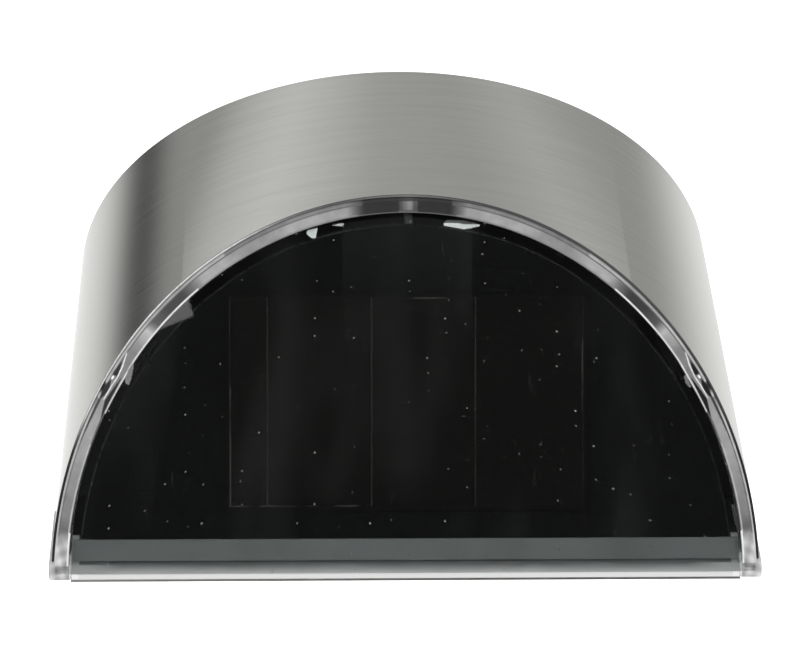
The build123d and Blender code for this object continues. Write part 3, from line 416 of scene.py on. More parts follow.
def backMouldingMaterial():
    # white ABS back: satin and even, with painted shade: along the rail under the pane's edge it falls off
    # into painted shade, and its inner face, behind the tray, is painted dark as shade
    c = lipLook
    material, tree, shader = startMaterial("whiteBackMoulding")
    parts = faceParts(tree)
    slope = ((fenceLine - c["end"]) / 1000, (fenceLine - c["start"]) / 1000)
    fall = addNode(tree, "ValToRGB", (addNode(tree, "MapRange", (parts["Y"], *slope, 0.0, 1.0)),))
    setStops(fall, ((0.0, linear(c["far"])), (c["middleAt"], linear(c["middle"])), (1.0, linear(c["near"]))))
    levels = ((faceLevel - d) / 1000 for d in c["depth"])
    under = addNode(tree, "MapRange", (parts["Z"], *levels, 0.0, 1.0))
    side = addNode(tree, "Math", (parts["X"],), operation="ABSOLUTE")
    away = addNode(tree, "Math", (side, c["cornerSide"] / 1000), operation="GREATER_THAN")
    less = addNode(tree, "Math", (away, 1 - c["cornerShare"]), operation="MULTIPLY")
    kept = addNode(tree, "Math", (1.0, less), operation="SUBTRACT")
    shade = addNode(tree, "Math", (under, kept), operation="MULTIPLY")
    plain = {0: mottling(tree, (0.08,) * 3), 6: linear(c["body"][0]), 7: linear(c["body"][1])}
    shaded = {0: shade, 6: addNode(tree, "Mix", plain, 2, data_type="RGBA"), 7: fall}
    upright = addNode(tree, "SeparateXYZ", (addNode(tree, "TexCoord", output="Object"),), "Y")
    start = (c["innerFrom"] / 1000, (c["innerFrom"] + c["innerSoft"]) / 1000)
    behind = addNode(tree, "MapRange", (upright, *start, 1.0, 0.0))
    levels = ((faceLevel - d) / 1000 for d in c["innerDepth"])
    deep = addNode(tree, "MapRange", (parts["Z"], *levels, 1.0, 0.0))
    inside = addNode(tree, "Math", (behind, deep), operation="MULTIPLY")
    tone = {0: inside, 6: addNode(tree, "Mix", shaded, 2, data_type="RGBA"), 7: linear(c["inner"])}
    fine = mottling(tree, (3.0,) * 3)
    fillInputs(shader, {
        "Roughness": 0.35, "Base Color": addNode(tree, "Mix", tone, 2, data_type="RGBA"),
        "Normal": addNode(tree, "Bump", {"Height": fine, "Strength": 0.02, "Distance": 0.0001})})
    return material


cellLook = {
    "film": ("1b1513", "1f1816"), "borderMarks": "8a8a86", "half": (27.45, 16.25), "down": 27.7, "line": 0.16,
    "broken": (0.53, 0.60),
}


def cellFilmMaterial():
    # thin-film solar cell: brown-black under glass, even, with a light grey line, broken into pieces,
    # along its border
    c = cellLook
    material, tree, shader = startMaterial("solarCellFilm")
    parts = faceParts(tree)
    # how far a place is outside the border: the larger of its distances past the sides and the ends
    fromMiddle = addNode(tree, "Math", (parts["Y"], (fenceLine - c["down"]) / 1000), operation="SUBTRACT")
    past = []
    for place, half in zip((parts["X"], fromMiddle), c["half"]):
        distance = addNode(tree, "Math", (place,), operation="ABSOLUTE")
        past.append(addNode(tree, "Math", (distance, half / 1000), operation="SUBTRACT"))
    border = addNode(tree, "Math", (addNode(tree, "Math", past, operation="MAXIMUM"),), operation="ABSOLUTE")
    line = addNode(tree, "MapRange", (border, c["line"] / 2000, c["line"] / 1000, 1.0, 0.0))
    broken = addNode(tree, "MapRange", (mottling(tree, (0.09,) * 3, 6.0), *c["broken"], 0.0, 1.0))
    borderMarks = addNode(tree, "Math", (line, broken), operation="MULTIPLY")
    cloud = {0: mottling(tree, (0.06,) * 3, 3.0), 6: linear(c["film"][0]), 7: linear(c["film"][1])}
    tone = {0: borderMarks, 6: addNode(tree, "Mix", cloud, 2, data_type="RGBA"), 7: linear(c["borderMarks"])}
    fillInputs(shader, {"Roughness": 0.2, "Base Color": addNode(tree, "Mix", tone, 2, data_type="RGBA")})
    return material


looks = {
    "brushedBand": brushedBandMaterial(),
    "shearedEdge": shearedEdgeMaterial(),
    "plate": metalMaterial("rolledStainlessPlate", "a8a8a6", 0.32, (0.3, 6.0, 6.0)),
    "clearCover": clearCoverMaterial(),
    "coverEnd": coverEndMaterial(),
    "lens": clearMaterial("frostedLens", "eef3f2", 0.25),
    "trayBlack": plasticMaterial("glossyBlackTray", "070708", 0.12, 0.15, 0.01, 1.0),
    # the tray's bevel: a lighter grey as painted highlight
    "trayBevelHighlight": plasticMaterial("trayBevelPaintedHighlight", "2e2f30", 0.3, 0.1, 0.01, 1.0),
    "black": plasticMaterial("satinBlackHousing", "080808", 0.4),
    "cellGlass": clearMaterial("cellCoverGlass", "d8d4d0", 0.02),
    "cellFilm": cellFilmMaterial(),
    "cellBack": plasticMaterial("cellBackCoating", "5c5c5a", 0.5),
    "solder": metalMaterial("tinnedStrip", "b5b5b2", 0.35),
    "greySeal": plasticMaterial("greyRubberSill", "676868", 0.7, 0.06, 0.05, 4.0),
    "blackSeal": plasticMaterial("blackRubberGasket", "0c0c0c", 0.6),
    "backWhite": backMouldingMaterial(),
    "clipWhite": clipMaterial(),
    "white": plasticMaterial("whiteMouldedClip", "f0f0ee", 0.35, 0.02, 0.02, 3.0),
    "doorWhite": plasticMaterial("whiteDoorMoulding", "e4e5e5", 0.35, 0.02, 0.02, 3.0),
    "whiteGloss": plasticMaterial("whiteReflectorMoulding", "f0f1f0", 0.18, 0.01, 0.01),
    "screw": metalMaterial("platedScrewSteel", "b9b9b7", 0.25, (3.0, 3.0, 3.0)),
    "board": plasticMaterial("greenSolderMask", "1c5a30", 0.3, 0.15),
    "boardWhite": plasticMaterial("whiteSolderMask", "e6e6e2", 0.3),
    "led": plasticMaterial("yellowPhosphor", "e8c24a", 0.3),
    "chip": plasticMaterial("blackChipMoulding", "161616", 0.5),
    "coil": plasticMaterial("greenCoilLacquer", "3f7a4c", 0.25),
    "can": metalMaterial("drawnCanAluminium", "cfcfcc", 0.25),
    "battery": plasticMaterial("plainGreenBatteryWrap", "2c6b48", 0.25, 0.03),
    "contact": metalMaterial("nickelContactSpring", "bcb8ae", 0.2),
    "wireRed": plasticMaterial("redWireSleeve", "a01818", 0.4),
    "wireBlack": plasticMaterial("blackWireSleeve", "141414", 0.4),
}
nodeLooks = {
    "cell_glass": "cellGlass", "cell_film": "cellFilm", "cell_backing": "cellBack", "cell_solder": "solder",
    "cover_gasket": "blackSeal", "housing_gasket": "blackSeal", "door_gasket": "blackSeal",
    "sill_seal": "greySeal", "inner_housing": "black", "solar_tray": "trayBlack", "top_cover": "clearCover",
    "tray_clips": "white", "steel_band": "plate", "back_cover": "backWhite", "wall_plate": "plate",
    "battery_door": "doorWhite", "back_screws": "screw", "door_screw": "screw", "board_screws": "screw",
    "led_screws": "screw", "battery": "battery", "contact_plate": "contact", "contact_spring": "contact",
    "switch_body": "chip", "switch_knob": "black", "switch_terminals": "solder", "control_board": "board",
    "control_chip": "chip", "coil": "coil", "capacitor": "can", "led_board": "boardWhite",
    "led_emitters": "led", "reflector": "whiteGloss", "bottom_lens": "lens", "solar_lead_red": "wireRed",
    "solar_lead_black": "wireBlack", "battery_lead_red": "wireRed", "battery_lead_black": "wireBlack",
    "switch_lead_in": "wireRed", "switch_lead_out": "wireBlack", "led_leads": "wireBlack",
}
for node, look in nodeLooks.items():
    mesh = frame["nodes"][node].data
    for slot in range(len(mesh.materials)):
        mesh.materials[slot] = looks[look]
print("materials set")


def finishPiece(obj, pieceLooks, node):
    # gives a new piece its materials and its body, and hides the CAD node it stands for
    for look in pieceLooks:
        obj.data.materials.append(looks[look])
    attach(obj, "light")
    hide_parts(node)


def faceCentres(obj):
    # middle of each face of a mesh, in mm
    centres = np.empty(len(obj.data.polygons) * 3)
    obj.data.polygons.foreach_get("center", centres)
    return centres.reshape(-1, 3) * 1000


bandShape = {
    "steps": 481, "edge": 0.08, "drop": 0.2, "returnLow": 3.0, "returnHigh": 56.0, "returnSide": 50.85,
    "returnGrey": 0.1,
    # painted reflection on the cut edge: its grey by turn round the oval from the middle of the front,
    # + towards +X, in steps of which 57 make a radian
    "cutReflectionGrey": ((-89, 20), (-72, 28), (-62, 62), (-12, 70), (0, 112), (12, 80), (20, 110), (28, 190),
                (64, 205), (70, 34), (89, 18)),
    "cutSteps": 57.0,
}


def steelBand():
    # section: a thin strip, standing, with eased edges; path: the half-ellipse, outer and inner; each
    # row of the section has its plan, its height and its share of the cut edge's painted reflection; the
    # smaller shares on the eased edges are painted shade
    b, low = bandShape["edge"], -body["mountHeight"]
    sheet, n = body["bandSheet"], bandShape["steps"]
    outer = ovalPath(*body["band"], body["backFront"], n)
    inner = ovalPath(body["band"][0] - sheet, body["band"][1] - sheet, body["backFront"], n)
    inward = (inner - outer) / np.linalg.norm(inner - outer, axis=1)[:, None]
    angle = np.arctan2(outer[:, 0] / body["band"][0], -outer[:, 1] / body["band"][1])
    # the cut edge's painted reflection, by turn round the oval
    paintedCutReflection = greyLinear(np.interp(angle * bandShape["cutSteps"], *np.array(bandShape["cutReflectionGrey"]).T))
    rows, paintedGreys = [], []
    for plan, z, share in (
            (outer, low + b, 0.3), (outer, None, 0.12), (outer + inward * b, "top", 1.0),
            (inner - inward * b, "top", 1.0), (inner, None, 0.35), (inner, low + b, 0.3),
            (inner - inward * b, low, 0.3), (outer + inward * b, low, 0.3)):
        top = faceHeight(plan[:, 1], bandShape["drop"])
        height = top if z == "top" else top - b * 1.2 if z is None else np.full(n, z)
        rows.append(np.column_stack([plan, height]))
        paintedGreys.append(paintedCutReflection * share)
    grid = np.stack(rows, axis=1)
    parts = [(grid, tube(grid), np.stack(paintedGreys, axis=1))]
    for s in (-1, 1):
        sides = sorted((s * bandShape["returnSide"], s * (body["band"][0] - sheet)))
        levels = [low + bandShape["returnLow"], low + bandShape["returnHigh"]]
        loop = np.column_stack([sides + sides[::-1], np.repeat(levels, 2)])
        strip = np.stack([np.column_stack([loop[:, 0], np.full(4, -body["backFront"] - y), loop[:, 1]])
                          for y in (0.0, sheet)])
        parts.append((strip, tube(strip), np.full(strip.shape[:2], bandShape["returnGrey"])))
    obj = meshFrom("steelBand", parts, 30, ("edgeReflectionGrey",))
    co = np.empty(len(obj.data.vertices) * 3)
    obj.data.vertices.foreach_get("co", co)
    co = co.reshape(-1, 3)
    # lines map: U is the distance round the band, V the height, both in metres
    turn = np.arctan2(-co[:, 1] / body["band"][1], co[:, 0] / body["band"][0])
    table = np.linspace(-0.1, pi + 0.1, 2000)
    speed = np.hypot(body["band"][0] * np.sin(table), body["band"][1] * np.cos(table)) / 1000
    length = np.concatenate([[0], np.cumsum(speed[:-1] * np.diff(table))])
    uv = np.column_stack([np.interp(turn, table, length), co[:, 2]])
    loops = np.zeros(len(obj.data.loops), dtype=np.int32)
    obj.data.loops.foreach_get("vertex_index", loops)
    layer = obj.data.uv_layers.new(name="bandLines")
    layer.data.foreach_set("uv", uv[loops].astype(np.float32).ravel())
    finishPiece(obj, ("brushedBand", "shearedEdge"), "steel_band")
    # the second material, which carries the painted reflection, goes on the faces that lie along the slanted
    # cut
    centres = faceCentres(obj)
    cutFace = centres[:, 2] > faceHeight(centres[:, 1], bandShape["drop"]) - 1.3 * b
    obj.data.polygons.foreach_set("material_index", cutFace.astype(np.int32))


steelBand()
print("steel band made")

coverShape = {
    "steps": 1180, "pane": 1.48, "skirtDepth": 9.0, "chamfer": 0.2, "edge": 0.12, "lipFront": 0.95,
    "corner": (51.95, 55.4), "cornerReach": (0.12, 2.1),
    "rib": (-0.86, 0.52), "ribLength": 1.3, "ribDepth": 6.0,
    "hookAngle": 37.0, "hookWidth": 7.0, "hookThickness": 1.2, "hookDepth": 13.0, "hookBarb": 0.8,
    "barbTop": 11.4, "endSide": 54.6, "soft": 0.25, "gap": 0.02, "sunk": 0.05,
    # painted grey of the rib, standing for the light inside the clear rib: its middle, the swing of its
    # fine lines, and what its foot adds
    "ribGrey": (62, 5, 20),
}
# The ring's painted light by u, the distance round its edge from the middle of the front, and v, the
# distance inside that edge, in mm: light caught inside the clear ring and its reflections, with painted
# highlight lines and painted shade lines. Each strip has a grey, and knots of u with the v of its two edges.
ringLook = {
    "body": ((0, 38), (6.7, 38), (9.6, 148), (19, 154), (24, 134), (27, 132), (31, 158), (35, 158),
             (36.8, 104), (39, 54), (42, 54), (45, 76), (46.8, 176), (50.7, 122), (55, 118), (62.8, 150),
             (67, 150), (75, 130), (79, 118), (81, 94), (83.2, 168), (89.4, 180)),
    "inside": 1.95,
    "strips": (
        (92, ((7, 0.2, 0.42), (50, 0.2, 0.42), (82, 0.2, 0.42))),
        (184, ((9, -1, 0.08), (16, -1, 0.12), (32, -1, 0.16))),
        (206, ((30, -1, 0.2), (88.5, -1, 0.22))),
        (126, ((8, 1.8, 2.0), (37, 1.8, 2.0))),
        (216, ((36.5, 1.75, 2.02), (52, 1.8, 2.08), (55, 1.98, 2.22), (61.5, 1.98, 2.2))),
        (16, ((55.4, 1.72, 1.8), (57.7, 1.44, 1.98), (59.6, 1.2, 1.98), (62.6, 1.86, 2.0), (68, 1.93, 2.0))),
        (176, ((67, 1.78, 1.98), (82, 1.76, 1.98))),
        (18, ((53.0, 0.45, 0.52), (54.2, 0.34, 0.88), (55.2, 0.26, 1.06), (55.5, 0.4, 0.9))),
        (18, ((56.4, 0.5, 0.58), (57.2, 0.2, 0.86), (58, 0.14, 0.97), (59, 0.22, 0.8), (59.8, 0.44, 0.52))),
        (52, ((59.8, 0.2, 0.62), (63, 0.24, 0.6), (67, 0.25, 0.4))),
        (232, ((51.5, 0.28, 0.44), (53.6, 0.86, 1.06), (55.6, 1.12, 1.28), (57, 1.0, 1.16),
               (59.6, 0.93, 1.06))),
        (245, ((55.6, 0.46, 0.66), (55.9, 0.38, 0.74), (56.2, 0.46, 0.66))),
        (226, ((81.5, 1.86, 2.14), (88.5, 1.95, 2.25))),
    ),
    # strips of painted light that lie beyond the ring's inner edge, on one side only: side, grey, knots
    "patches": ((1, 112, ((52.4, 2.0, 2.2), (53.6, 2.0, 2.7), (54.9, 2.3, 3.1), (55.6, 2.7, 3.2))),
                (-1, 92, ((54.6, 2.2, 2.5), (55.6, 2.4, 2.8), (56.6, 2.5, 2.7)))),
    "cornerFrom": 83.0,
    # clear corners, painted patchy light: middle grey, swing, and the two waves' turns per mm to the side and
    # down the slope; then the grey of a painted highlight line
    "corner": (176, 34, (2.3, 1.1), (-0.9, 1.9)), "cornerLine": 226,
    # the rib's head shows through the ring as painted light: its grey by u
    "head": ((-1.7, 50), (-1.45, 78), (-1, 78), (-0.75, 124), (-0.3, 132), (0.05, 118), (0.3, 102),
             (0.55, 106), (0.75, 80), (1.1, 74), (1.4, 50)),
    "headSpan": (0.25, 1.7), "footSpan": (1.7, 2.0), "footGrey": 82, "lipGrey": 150, "wallGrey": 60,
}


def inStrip(u, v, knots, soft=0.07):
    # 1 between the strip's two edges, which run straight from knot to knot, with a soft border
    at, low, high = np.array(knots, float).T
    across = np.minimum(v - np.interp(u, at, low), np.interp(u, at, high) - v)
    return np.clip(np.minimum(across, np.minimum(u - at[0], at[-1] - u)) / soft + 0.5, 0, 1)


def cornerGrey(x, down):
    # painted patchy light in the clear corner: a middle grey and the product of two crossed sine waves
    middle, swing, first, second = ringLook["corner"]
    waves = np.sin(first[0] * x + first[1] * down) * np.sin(second[0] * x + second[1] * down)
    return middle + swing * waves


def ringMarks(u, v, x, down):
    # painted light and cover of the ring: a body tone that changes round it, then each strip, painted
    # highlights and shade lines, laid over it
    r, around = ringLook, np.abs(u)
    grey = np.interp(around, *np.array(r["body"], float).T)
    inCorner = softStep(around, r["cornerFrom"] - 1.5, r["cornerFrom"] + 1.5)
    grey = grey * (1 - inCorner) + cornerGrey(np.abs(x), down) * inCorner
    cover = 1 - softStep(v, r["inside"], r["inside"] + 0.12)
    for tone, knots in r["strips"]:
        share = inStrip(around, v, knots)
        grey = grey * (1 - share) + tone * share
        cover = np.maximum(cover, share)
    for side, tone, knots in r["patches"]:
        share = inStrip(u * side, v, knots, 0.2)
        grey = grey * (1 - share) + tone * share
        cover = np.maximum(cover, share)
    at, tone = np.array(r["head"], float).T
    share = inStrip(u, v, ((at[0], *r["headSpan"]), (at[-1], *r["headSpan"])), 0.2)
    grey = grey * (1 - share) + (np.interp(u, at, tone) + 8 * (1 - v)) * share
    foot = inStrip(u, v, ((at[0], *r["footSpan"]), (at[-1], *r["footSpan"])), 0.12)
    grey = grey * (1 - foot) + r["footGrey"] * foot
    return np.stack([greyLinear(grey), cover], axis=-1)


def topCover():
    # section: pane underside, skirt and chamfered rim; path: the half-ellipse of the cover. On top the
    # ring is a fine grid: points a distance v inside the edge, square to it in the face's own plane
    c, n = coverShape, coverShape["steps"]
    side, down = body["cover"][0], body["cover"][1] / faceCos
    lipDown = c["lipFront"] / faceCos
    start = np.arcsin(lipDown / down)
    table = np.linspace(start, pi - start, 4001)
    stepLength = np.hypot(np.diff(side * np.cos(table)), np.diff(down * np.sin(table)))
    length = np.concatenate([[0], np.cumsum(stepLength)])
    t = np.interp(np.linspace(0, length[-1], n), length, table)
    u = length[-1] / 2 - np.linspace(0, length[-1], n)
    edge = np.stack([side * np.cos(t), down * np.sin(t)], axis=-1)
    square = np.stack([np.cos(t) / side, np.sin(t) / down], axis=-1)
    square /= np.linalg.norm(square, axis=1)[:, None]
    v = np.concatenate([np.arange(4.4, 2.5, -0.2), np.arange(2.4, c["chamfer"] - 0.01, -0.1)])
    ring = edge[:, None] - square[:, None] * v[:, None]
    ring[..., 1] = np.maximum(ring[..., 1], lipDown)
    topGrid = facePoint(ring[..., 0], ring[..., 1], 0.0)
    # the ring's painted light, as marks on the grid
    marks = ringMarks(u[:, None] + 0 * v, v + 0 * u[:, None], ring[..., 0], ring[..., 1])

    outer = np.stack([side * np.cos(t), -np.maximum(body["cover"][1] * np.sin(t), c["lipFront"])], axis=-1)
    skirt = body["skirt"]
    inner = np.stack([skirt[0] * np.cos(t), -np.maximum(skirt[1] * np.sin(t), c["lipFront"])], axis=-1)
    inward = (inner - outer) / np.linalg.norm(inner - outer, axis=1)[:, None]
    lipTop = np.column_stack([ring[:, 0, 0], np.full(n, -c["lipFront"])])
    lipUnder = np.column_stack([inner[:, 0], np.full(n, -c["lipFront"])])
    e = c["edge"]
    wallRows = []
    for plan, depth in (
            (outer, c["chamfer"]), (outer, c["skirtDepth"] - e), (outer + inward * e, c["skirtDepth"]),
            (inner - inward * e, c["skirtDepth"]), (inner, c["skirtDepth"] - e),
            (inner, c["pane"] + c["soft"]), (inner + inward * c["soft"], c["pane"]), (lipUnder, c["pane"])):
        wallRows.append(np.column_stack([plan, faceHeight(plan[:, 1], depth)]))
    lipRow = np.column_stack([lipTop, faceHeight(lipTop[:, 1], 0.0)])
    grid = np.concatenate([lipRow[:, None], topGrid, np.stack(wallRows, axis=1)], axis=1)
    plain = np.zeros((n, 1, 2)) + (greyLinear(ringLook["lipGrey"]), 0.0)
    wallMarks = np.zeros((n, len(wallRows), 2)) + (greyLinear(ringLook["wallGrey"]), 0.0)
    wallMarks[:, 0] = marks[:, -1]
    parts = [(grid, tube(grid), np.concatenate([plain, marks, wallMarks], axis=1))]

    # corner blocks at the fence, with painted patchy light like the ring's ends, and a painted bright line at
    # their inner side
    for s in (-1, 1):
        sides = sorted((s * c["corner"][0], s * c["corner"][1]))
        block = slantedBlock(sides, c["cornerReach"], (0.0, c["skirtDepth"]), 0.18, (30, 16))
        grey = cornerGrey(np.abs(block[..., 0]), -block[..., 1] / faceCos)
        near = softStep(np.abs(block[..., 0]), c["corner"][0] + 0.35, c["corner"][0] + 0.2)
        grey = grey * (1 - near) + ringLook["cornerLine"] * near
        parts.append((block, tube(block), np.stack([greyLinear(grey), np.ones_like(grey)], axis=-1)))
    # locating rib: a short bar between the skirt and the tray, right under the pane, opaque with painted
    # light
    reach, under = skirt[1] - c["sunk"], c["pane"] + c["gap"]
    rib = slantedBlock(c["rib"], (reach - c["ribLength"], reach), (under, c["ribDepth"]), 0.12, (16, 4))
    atFoot = softStep(-rib[..., 1], reach - c["ribLength"] + 0.35, reach - c["ribLength"] + 0.1)
    middle, swing, more = c["ribGrey"]
    lined = greyLinear(middle + swing * np.cos(5 * rib[..., 0]) + more * atFoot)
    parts.append((rib, tube(rib), np.stack([lined, np.ones_like(lined)], axis=-1)))
    # snap hooks: flat clear tongues inside the skirt with a barb at the foot
    for a in (c["hookAngle"], 180 - c["hookAngle"]):
        turn = radians(a)
        ahead = np.array([cos(turn) / skirt[0], -sin(turn) / skirt[1]])
        ahead /= np.linalg.norm(ahead)
        along = np.array([-ahead[1], ahead[0]])
        foot = np.array([skirt[0] * cos(turn), -skirt[1] * sin(turn)]) - ahead * c["sunk"]
        profile = np.array([
            (0.0, under), (0.0, c["barbTop"]), (c["hookBarb"], c["barbTop"] + 0.1),
            (0.1, c["hookDepth"]), (-c["hookThickness"], c["hookDepth"]), (-c["hookThickness"], under)])
        widths = np.linspace(-c["hookWidth"] / 2, c["hookWidth"] / 2, 9)
        plan = foot + along * widths[:, None, None] + ahead * profile[:, 0, None]
        tongue = np.concatenate([plan, faceHeight(plan[..., 1], profile[:, 1])[..., None]], axis=-1)
        clear = np.zeros(tongue.shape[:2] + (2,)) + (greyLinear(ringLook["wallGrey"]), 0.0)
        parts.append((tongue, tube(tongue), clear))
    obj = meshFrom("topCover", parts, 25, ("ringPaintedGrey", "ringCover"))
    finishPiece(obj, ("clearCover", "coverEnd"), "top_cover")
    # the second material, with its painted shade, goes on the pane's end wall at the fence
    centres = faceCentres(obj)
    atEnd = (np.abs(centres[:, 1] + c["lipFront"]) < 0.01) & (np.abs(centres[:, 0]) < c["endSide"])
    obj.data.polygons.foreach_set("material_index", atEnd.astype(np.int32))


topCover()
print("clear cover made")

trayShape = {
    "top": 1.7, "thickness": 2.4, "bevel": 0.35, "reach": 3.83, "steps": 361, "backSteps": 41,
    "cell": (56.7, 34.1), "cellDown": 27.7, "recess": 1.6, "eased": 0.12,
    "rim": (46.5, 36.6), "rimInner": (45.1, 35.2), "rimDepth": 5.7, "rimReach": 8.0,
}


def solarTray():
    # top face: rays from the cell's recess out to the bevelled half-oval edge, then down and back
    t, n = trayShape, trayShape["steps"]
    side, front = body["tray"]
    upTo = (t["reach"] + t["top"] * faceSin) / faceCos
    start = np.arcsin(upTo / front)
    a = np.linspace(start, pi - start, n)
    edge = np.stack([side * np.cos(a), front * np.sin(a)], axis=-1)
    backSide = np.linspace(edge[-1, 0], edge[0, 0], t["backSteps"])[1:-1]
    backEdge = np.column_stack([backSide, np.full(len(backSide), upTo)])
    ring = np.concatenate([edge, backEdge])
    centre = np.array([0.0, t["cellDown"]])
    half = np.array(t["cell"]) / 2
    out = ring - centre
    reachOut = np.min(half / np.maximum(np.abs(out), 1e-9), axis=1)
    recess = out * reachOut[:, None] + centre
    # the four corners of the recess pull in the nearest ray
    for corner in centre + half * np.array([(-1, -1), (-1, 1), (1, -1), (1, 1)]):
        recess[np.argmin(np.linalg.norm(recess - corner, axis=1))] = corner
    lean = np.where(np.arange(len(ring)) < n, 1.0, 0.0)[:, None]
    normal = out / np.linalg.norm(out, axis=1)[:, None]
    rows = []
    for plan, depth in (
            (recess, t["top"] + t["recess"]), (recess, t["top"] + t["eased"]),
            (recess + normal * t["eased"], t["top"]),
            (ring - normal * t["bevel"] * lean, t["top"]), (ring, t["top"] + t["bevel"]),
            (ring, t["top"] + t["thickness"]), (recess, t["top"] + t["thickness"])):
        rows.append(facePoint(plan[:, 0], plan[:, 1], np.full(len(plan), depth)))
    grid = np.stack(rows, axis=1)
    # the back edge stands upright against the back cover's rail
    grid[..., 1] = np.minimum(grid[..., 1], -t["reach"])
    m, k = grid.shape[:2]
    i, j = np.meshgrid(np.arange(m), np.arange(k - 1), indexing="ij")
    q = (i + 1) % m
    quads = np.stack([i * k + j, i * k + j + 1, q * k + j + 1, q * k + j], axis=-1).reshape(-1, 4).tolist()
    floors = [tuple(np.arange(m) * k), tuple(np.arange(m) * k + k - 1)]
    parts = [(grid, [tuple(x) for x in quads] + floors)]
    # rim wall under the plate, inside the housing
    rimRows = []
    low = t["top"] + t["thickness"]
    for size, depth in (("rim", low), ("rim", t["rimDepth"]), ("rimInner", t["rimDepth"]), ("rimInner", low)):
        path = ovalPath(*t[size], t["rimReach"], 81)
        rimRows.append(np.column_stack([path, faceHeight(path[:, 1], depth - 0.02)]))
    rim = np.stack(rimRows, axis=1)
    parts.append((rim, tube(rim)))
    obj = meshFrom("solarTray", parts, 25)
    finishPiece(obj, ("trayBlack", "trayBevelHighlight"), "solar_tray")
    # the second material, a lighter grey as painted highlight, goes on the bevel, known by its depth under
    # the face
    centres = faceCentres(obj)
    under = (topZ - centres[:, 2]) * faceCos + centres[:, 1] * faceSin
    outside = np.hypot(centres[:, 0] / side, (centres[:, 1] / faceCos) / front) > 0.9
    bevelled = outside & (np.abs(under - t["top"] - t["bevel"] / 2) < 0.05)
    obj.data.polygons.foreach_set("material_index", bevelled.astype(np.int32))


solarTray()
print("solar tray made")

# Each clip: stations along X, each with the distances down the slope of its front edge, of the line where
# its front facet meets the flat top, and of its rear edge; then the greys of facet and top, the facet's
# darker grey being painted shade.
clipShape = {
    "depth": (1.75, 3.9), "drop": 0.5, "stations": 25,
    "clips": (
        (((-11.3, 55.3, 55.28, 55.0), (-10.5, 55.62, 55.34, 54.84), (-8.75, 56.0, 55.34, 54.58),
          (-8.1, 56.02, 55.5, 54.72), (-6.25, 56.08, 55.54, 55.05), (-5.75, 55.65, 55.5, 55.12)), (165, 255)),
        (((13.9, 54.74, 54.72, 54.6), (14.2, 54.72, 54.7, 53.12), (14.8, 54.6, 54.58, 53.15),
          (15.3, 54.5, 54.48, 53.55), (15.57, 54.25, 54.2, 53.8)), (250, 255)),
        (((9.75, 55.48, 55.46, 55.36), (10.1, 55.52, 55.44, 55.0), (10.7, 55.52, 55.36, 55.02),
          (11.2, 55.5, 55.1, 55.06), (11.58, 55.45, 55.14, 55.1)), (170, 240)),
    ),
}


def trayClips():
    # section: low front, facet, flat top, low rear; the facet, in painted shade, and the top keep their own
    # grey up to the line between them, so that line is there twice
    c, parts = clipShape, []
    top, foot = c["depth"]
    for knots, (facetShade, flat) in c["clips"]:
        at, front, line, rear = np.array(knots).T
        x = np.linspace(at[0], at[-1], c["stations"])
        front, line, rear = (np.interp(x, at, value) for value in (front, line, rear))
        rows = [facePoint(x, down, depth) for down, depth in (
            (front, foot), (front, top + c["drop"]), (line + 0.01, top + 0.01),
            (line, top), (rear, top), (rear, foot))]
        grid = np.stack(rows, axis=1)
        paintedGreys = np.broadcast_to(greyLinear(np.array((facetShade,) * 3 + (flat,) * 3)), grid.shape[:2])
        parts.append((grid, tube(grid), paintedGreys))
    obj = meshFrom("trayClips", parts, 30, ("clipPaintedShade",))
    finishPiece(obj, ("clipWhite",), "tray_clips")


trayClips()
print("tray clips made")

studio = {
    "floorDrop": 0.45, "floorSize": 6.0, "floorGlow": 0.8, "floorGloss": 1.7, "floorColour": "f2f2f2",
    "skyLevel": 0.72, "skyThrough": 1.65, "plainGloss": 0.42, "darkGloss": 0.045,
    # gloss sees the sky dark round this direction, from the first to the second cosine
    "cameraSide": (0.04, -0.65, 0.76), "darkFrom": (0.6, 0.92),
    "lensMm": 108.68, "cameraPlace": (0.0163574, -0.2781486, 0.2707513),
    "cameraTurn": (-41.71474, -1.76997, -178.48256),
    "lamps": {"leftSoftbox": (0.45, -0.83, 0.5), "rightSoftbox": (-0.78, -0.58, 0.5)},
    "lampSize": (0.6, 0.9), "lampPower": 4.5,
    # brightness of the floor in gloss, by turn about the light: 0 and 1 are -X, 0.25 is the garden side,
    # 0.5 is +X and 0.75 the fence side; a black card stands at +X
    "floorTurn": ((0.0, 0.25), (0.09, 0.31), (0.146, 0.42), (0.2, 0.34), (0.26, 0.37), (0.33, 0.56),
                  (0.375, 0.44), (0.405, 0.27), (0.466, 0.33), (0.477, 0.0), (0.517, 0.0), (0.54, 0.48),
                  (0.58, 0.68), (0.65, 0.78), (0.69, 0.98), (0.77, 0.62), (0.81, 0.68), (0.885, 0.72),
                  (0.92, 0.68), (0.957, 0.52), (1.0, 0.3)),
}


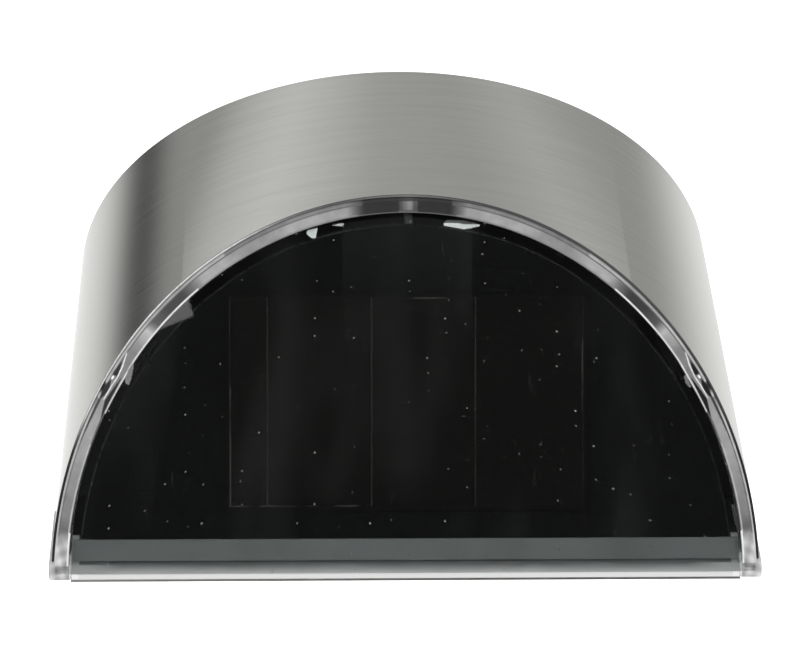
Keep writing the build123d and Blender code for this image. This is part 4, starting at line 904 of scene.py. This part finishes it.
def studioFloor():
    # a wide pale floor below the hung light; the camera and clear plastic see it white, and gloss sees
    # it as the grey cards that stand round the light
    size, z = studio["floorSize"], lowCad.z - studio["floorDrop"]
    mesh = bpy.data.meshes.new("studioFloor")
    corners = [(x * size, y * size, z) for x, y in ((-1, -1), (1, -1), (1, 1), (-1, 1))]
    mesh.from_pydata(corners, [], [(0, 1, 2, 3)])
    floor = bpy.data.objects.new("studioFloor", mesh)
    bpy.context.scene.collection.objects.link(floor)
    material, tree, shader = startMaterial("paleFloor")
    path = addNode(tree, "LightPath").node.outputs
    seen = addNode(tree, "Math", (path["Is Camera Ray"], path["Is Transmission Ray"]), operation="MAXIMUM")
    fillInputs(shader, {
        "Base Color": linear(studio["floorColour"]), "Roughness": 0.9, "Emission Color": (1, 1, 1, 1),
        "Emission Strength": addNode(tree, "Math", (seen, studio["floorGlow"]), operation="MULTIPLY")})
    place = addNode(tree, "TexCoord", output="Object")
    turn = addNode(tree, "TexGradient", (place,), "Fac", gradient_type="RADIAL")
    cards = addNode(tree, "ValToRGB", (turn,))
    setStops(cards, [(at, (level, level, level, 1)) for at, level in studio["floorTurn"]])
    glossy = addNode(tree, "Emission", (cards, studio["floorGloss"]))
    mixed = addNode(tree, "MixShader", (path["Is Glossy Ray"], shader.outputs[0], glossy))
    fillInputs(tree.nodes["Material Output"], {"Surface": mixed})
    mesh.materials.append(material)


def world():
    # even pale surroundings; gloss sees them grey, and dark behind the camera; the camera sees white,
    # and light that a dull surface has scattered leaves through the clear cover at the level skyThrough
    made = bpy.data.worlds.new("studioSurround")
    bpy.context.scene.world = made
    made.use_nodes = True
    tree = made.node_tree
    path = addNode(tree, "LightPath").node.outputs
    direction = addNode(tree, "TexCoord", output="Generated")
    facing = addNode(tree, "VectorMath", (direction, studio["cameraSide"]), "Value", operation="DOT_PRODUCT")
    darkening = (*studio["darkFrom"], studio["plainGloss"], studio["darkGloss"])
    gloss = addNode(tree, "MapRange", (facing, *darkening))
    seen = addNode(tree, "Math", (path["Is Glossy Ray"], path["Is Transmission Ray"]), operation="MAXIMUM")
    scattered = addNode(tree, "Math", (path["Diffuse Depth"], 1.0), operation="MINIMUM")
    unscattered = addNode(tree, "Math", (1.0, scattered), operation="SUBTRACT")
    mirrored = addNode(tree, "Math", (seen, unscattered), operation="MULTIPLY")
    through = addNode(tree, "Math", (scattered, path["Is Transmission Ray"]), operation="MULTIPLY")
    sky = addNode(tree, "MapRange", (through, 0.0, 1.0, studio["skyLevel"], studio["skyThrough"]))
    level = addNode(tree, "MapRange", {"Value": mirrored, "To Min": sky, "To Max": gloss})
    strength = addNode(tree, "MapRange", {"Value": path["Is Camera Ray"], "To Min": level, "To Max": 1.0})
    fillInputs(tree.nodes["Background"], {"Color": (1, 1, 1, 1), "Strength": strength})


def softbox(name, place):
    # a rectangular lamp that faces the light, and leaves no image of itself in the clear skirt
    light = bpy.data.lights.new(name, "AREA")
    light.shape = "RECTANGLE"
    light.size, light.size_y = studio["lampSize"]
    light.energy = studio["lampPower"]
    obj = bpy.data.objects.new(name, light)
    obj.location = place
    obj.rotation_mode = "QUATERNION"
    obj.rotation_quaternion = (-Vector(place)).to_track_quat("-Z", "Y")
    obj.visible_transmission = False
    bpy.context.scene.collection.objects.link(obj)


def photoCamera():
    # the photo's own view, found from the outline of the light: place in metres, turn in degrees
    camera = bpy.data.cameras.new("photoCamera")
    camera.lens, camera.sensor_width = studio["lensMm"], 36.0
    camera.clip_start, camera.clip_end = 0.02, 20.0
    obj = bpy.data.objects.new("photoCamera", camera)
    obj.location = studio["cameraPlace"]
    obj.rotation_euler = [radians(a) for a in studio["cameraTurn"]]
    bpy.context.scene.collection.objects.link(obj)
    bpy.context.scene.camera = obj


studioFloor()
world()
for name, place in studio["lamps"].items():
    softbox(name, place)
photoCamera()
bpy.context.scene.view_settings.view_transform = "Standard"
print("studio set")
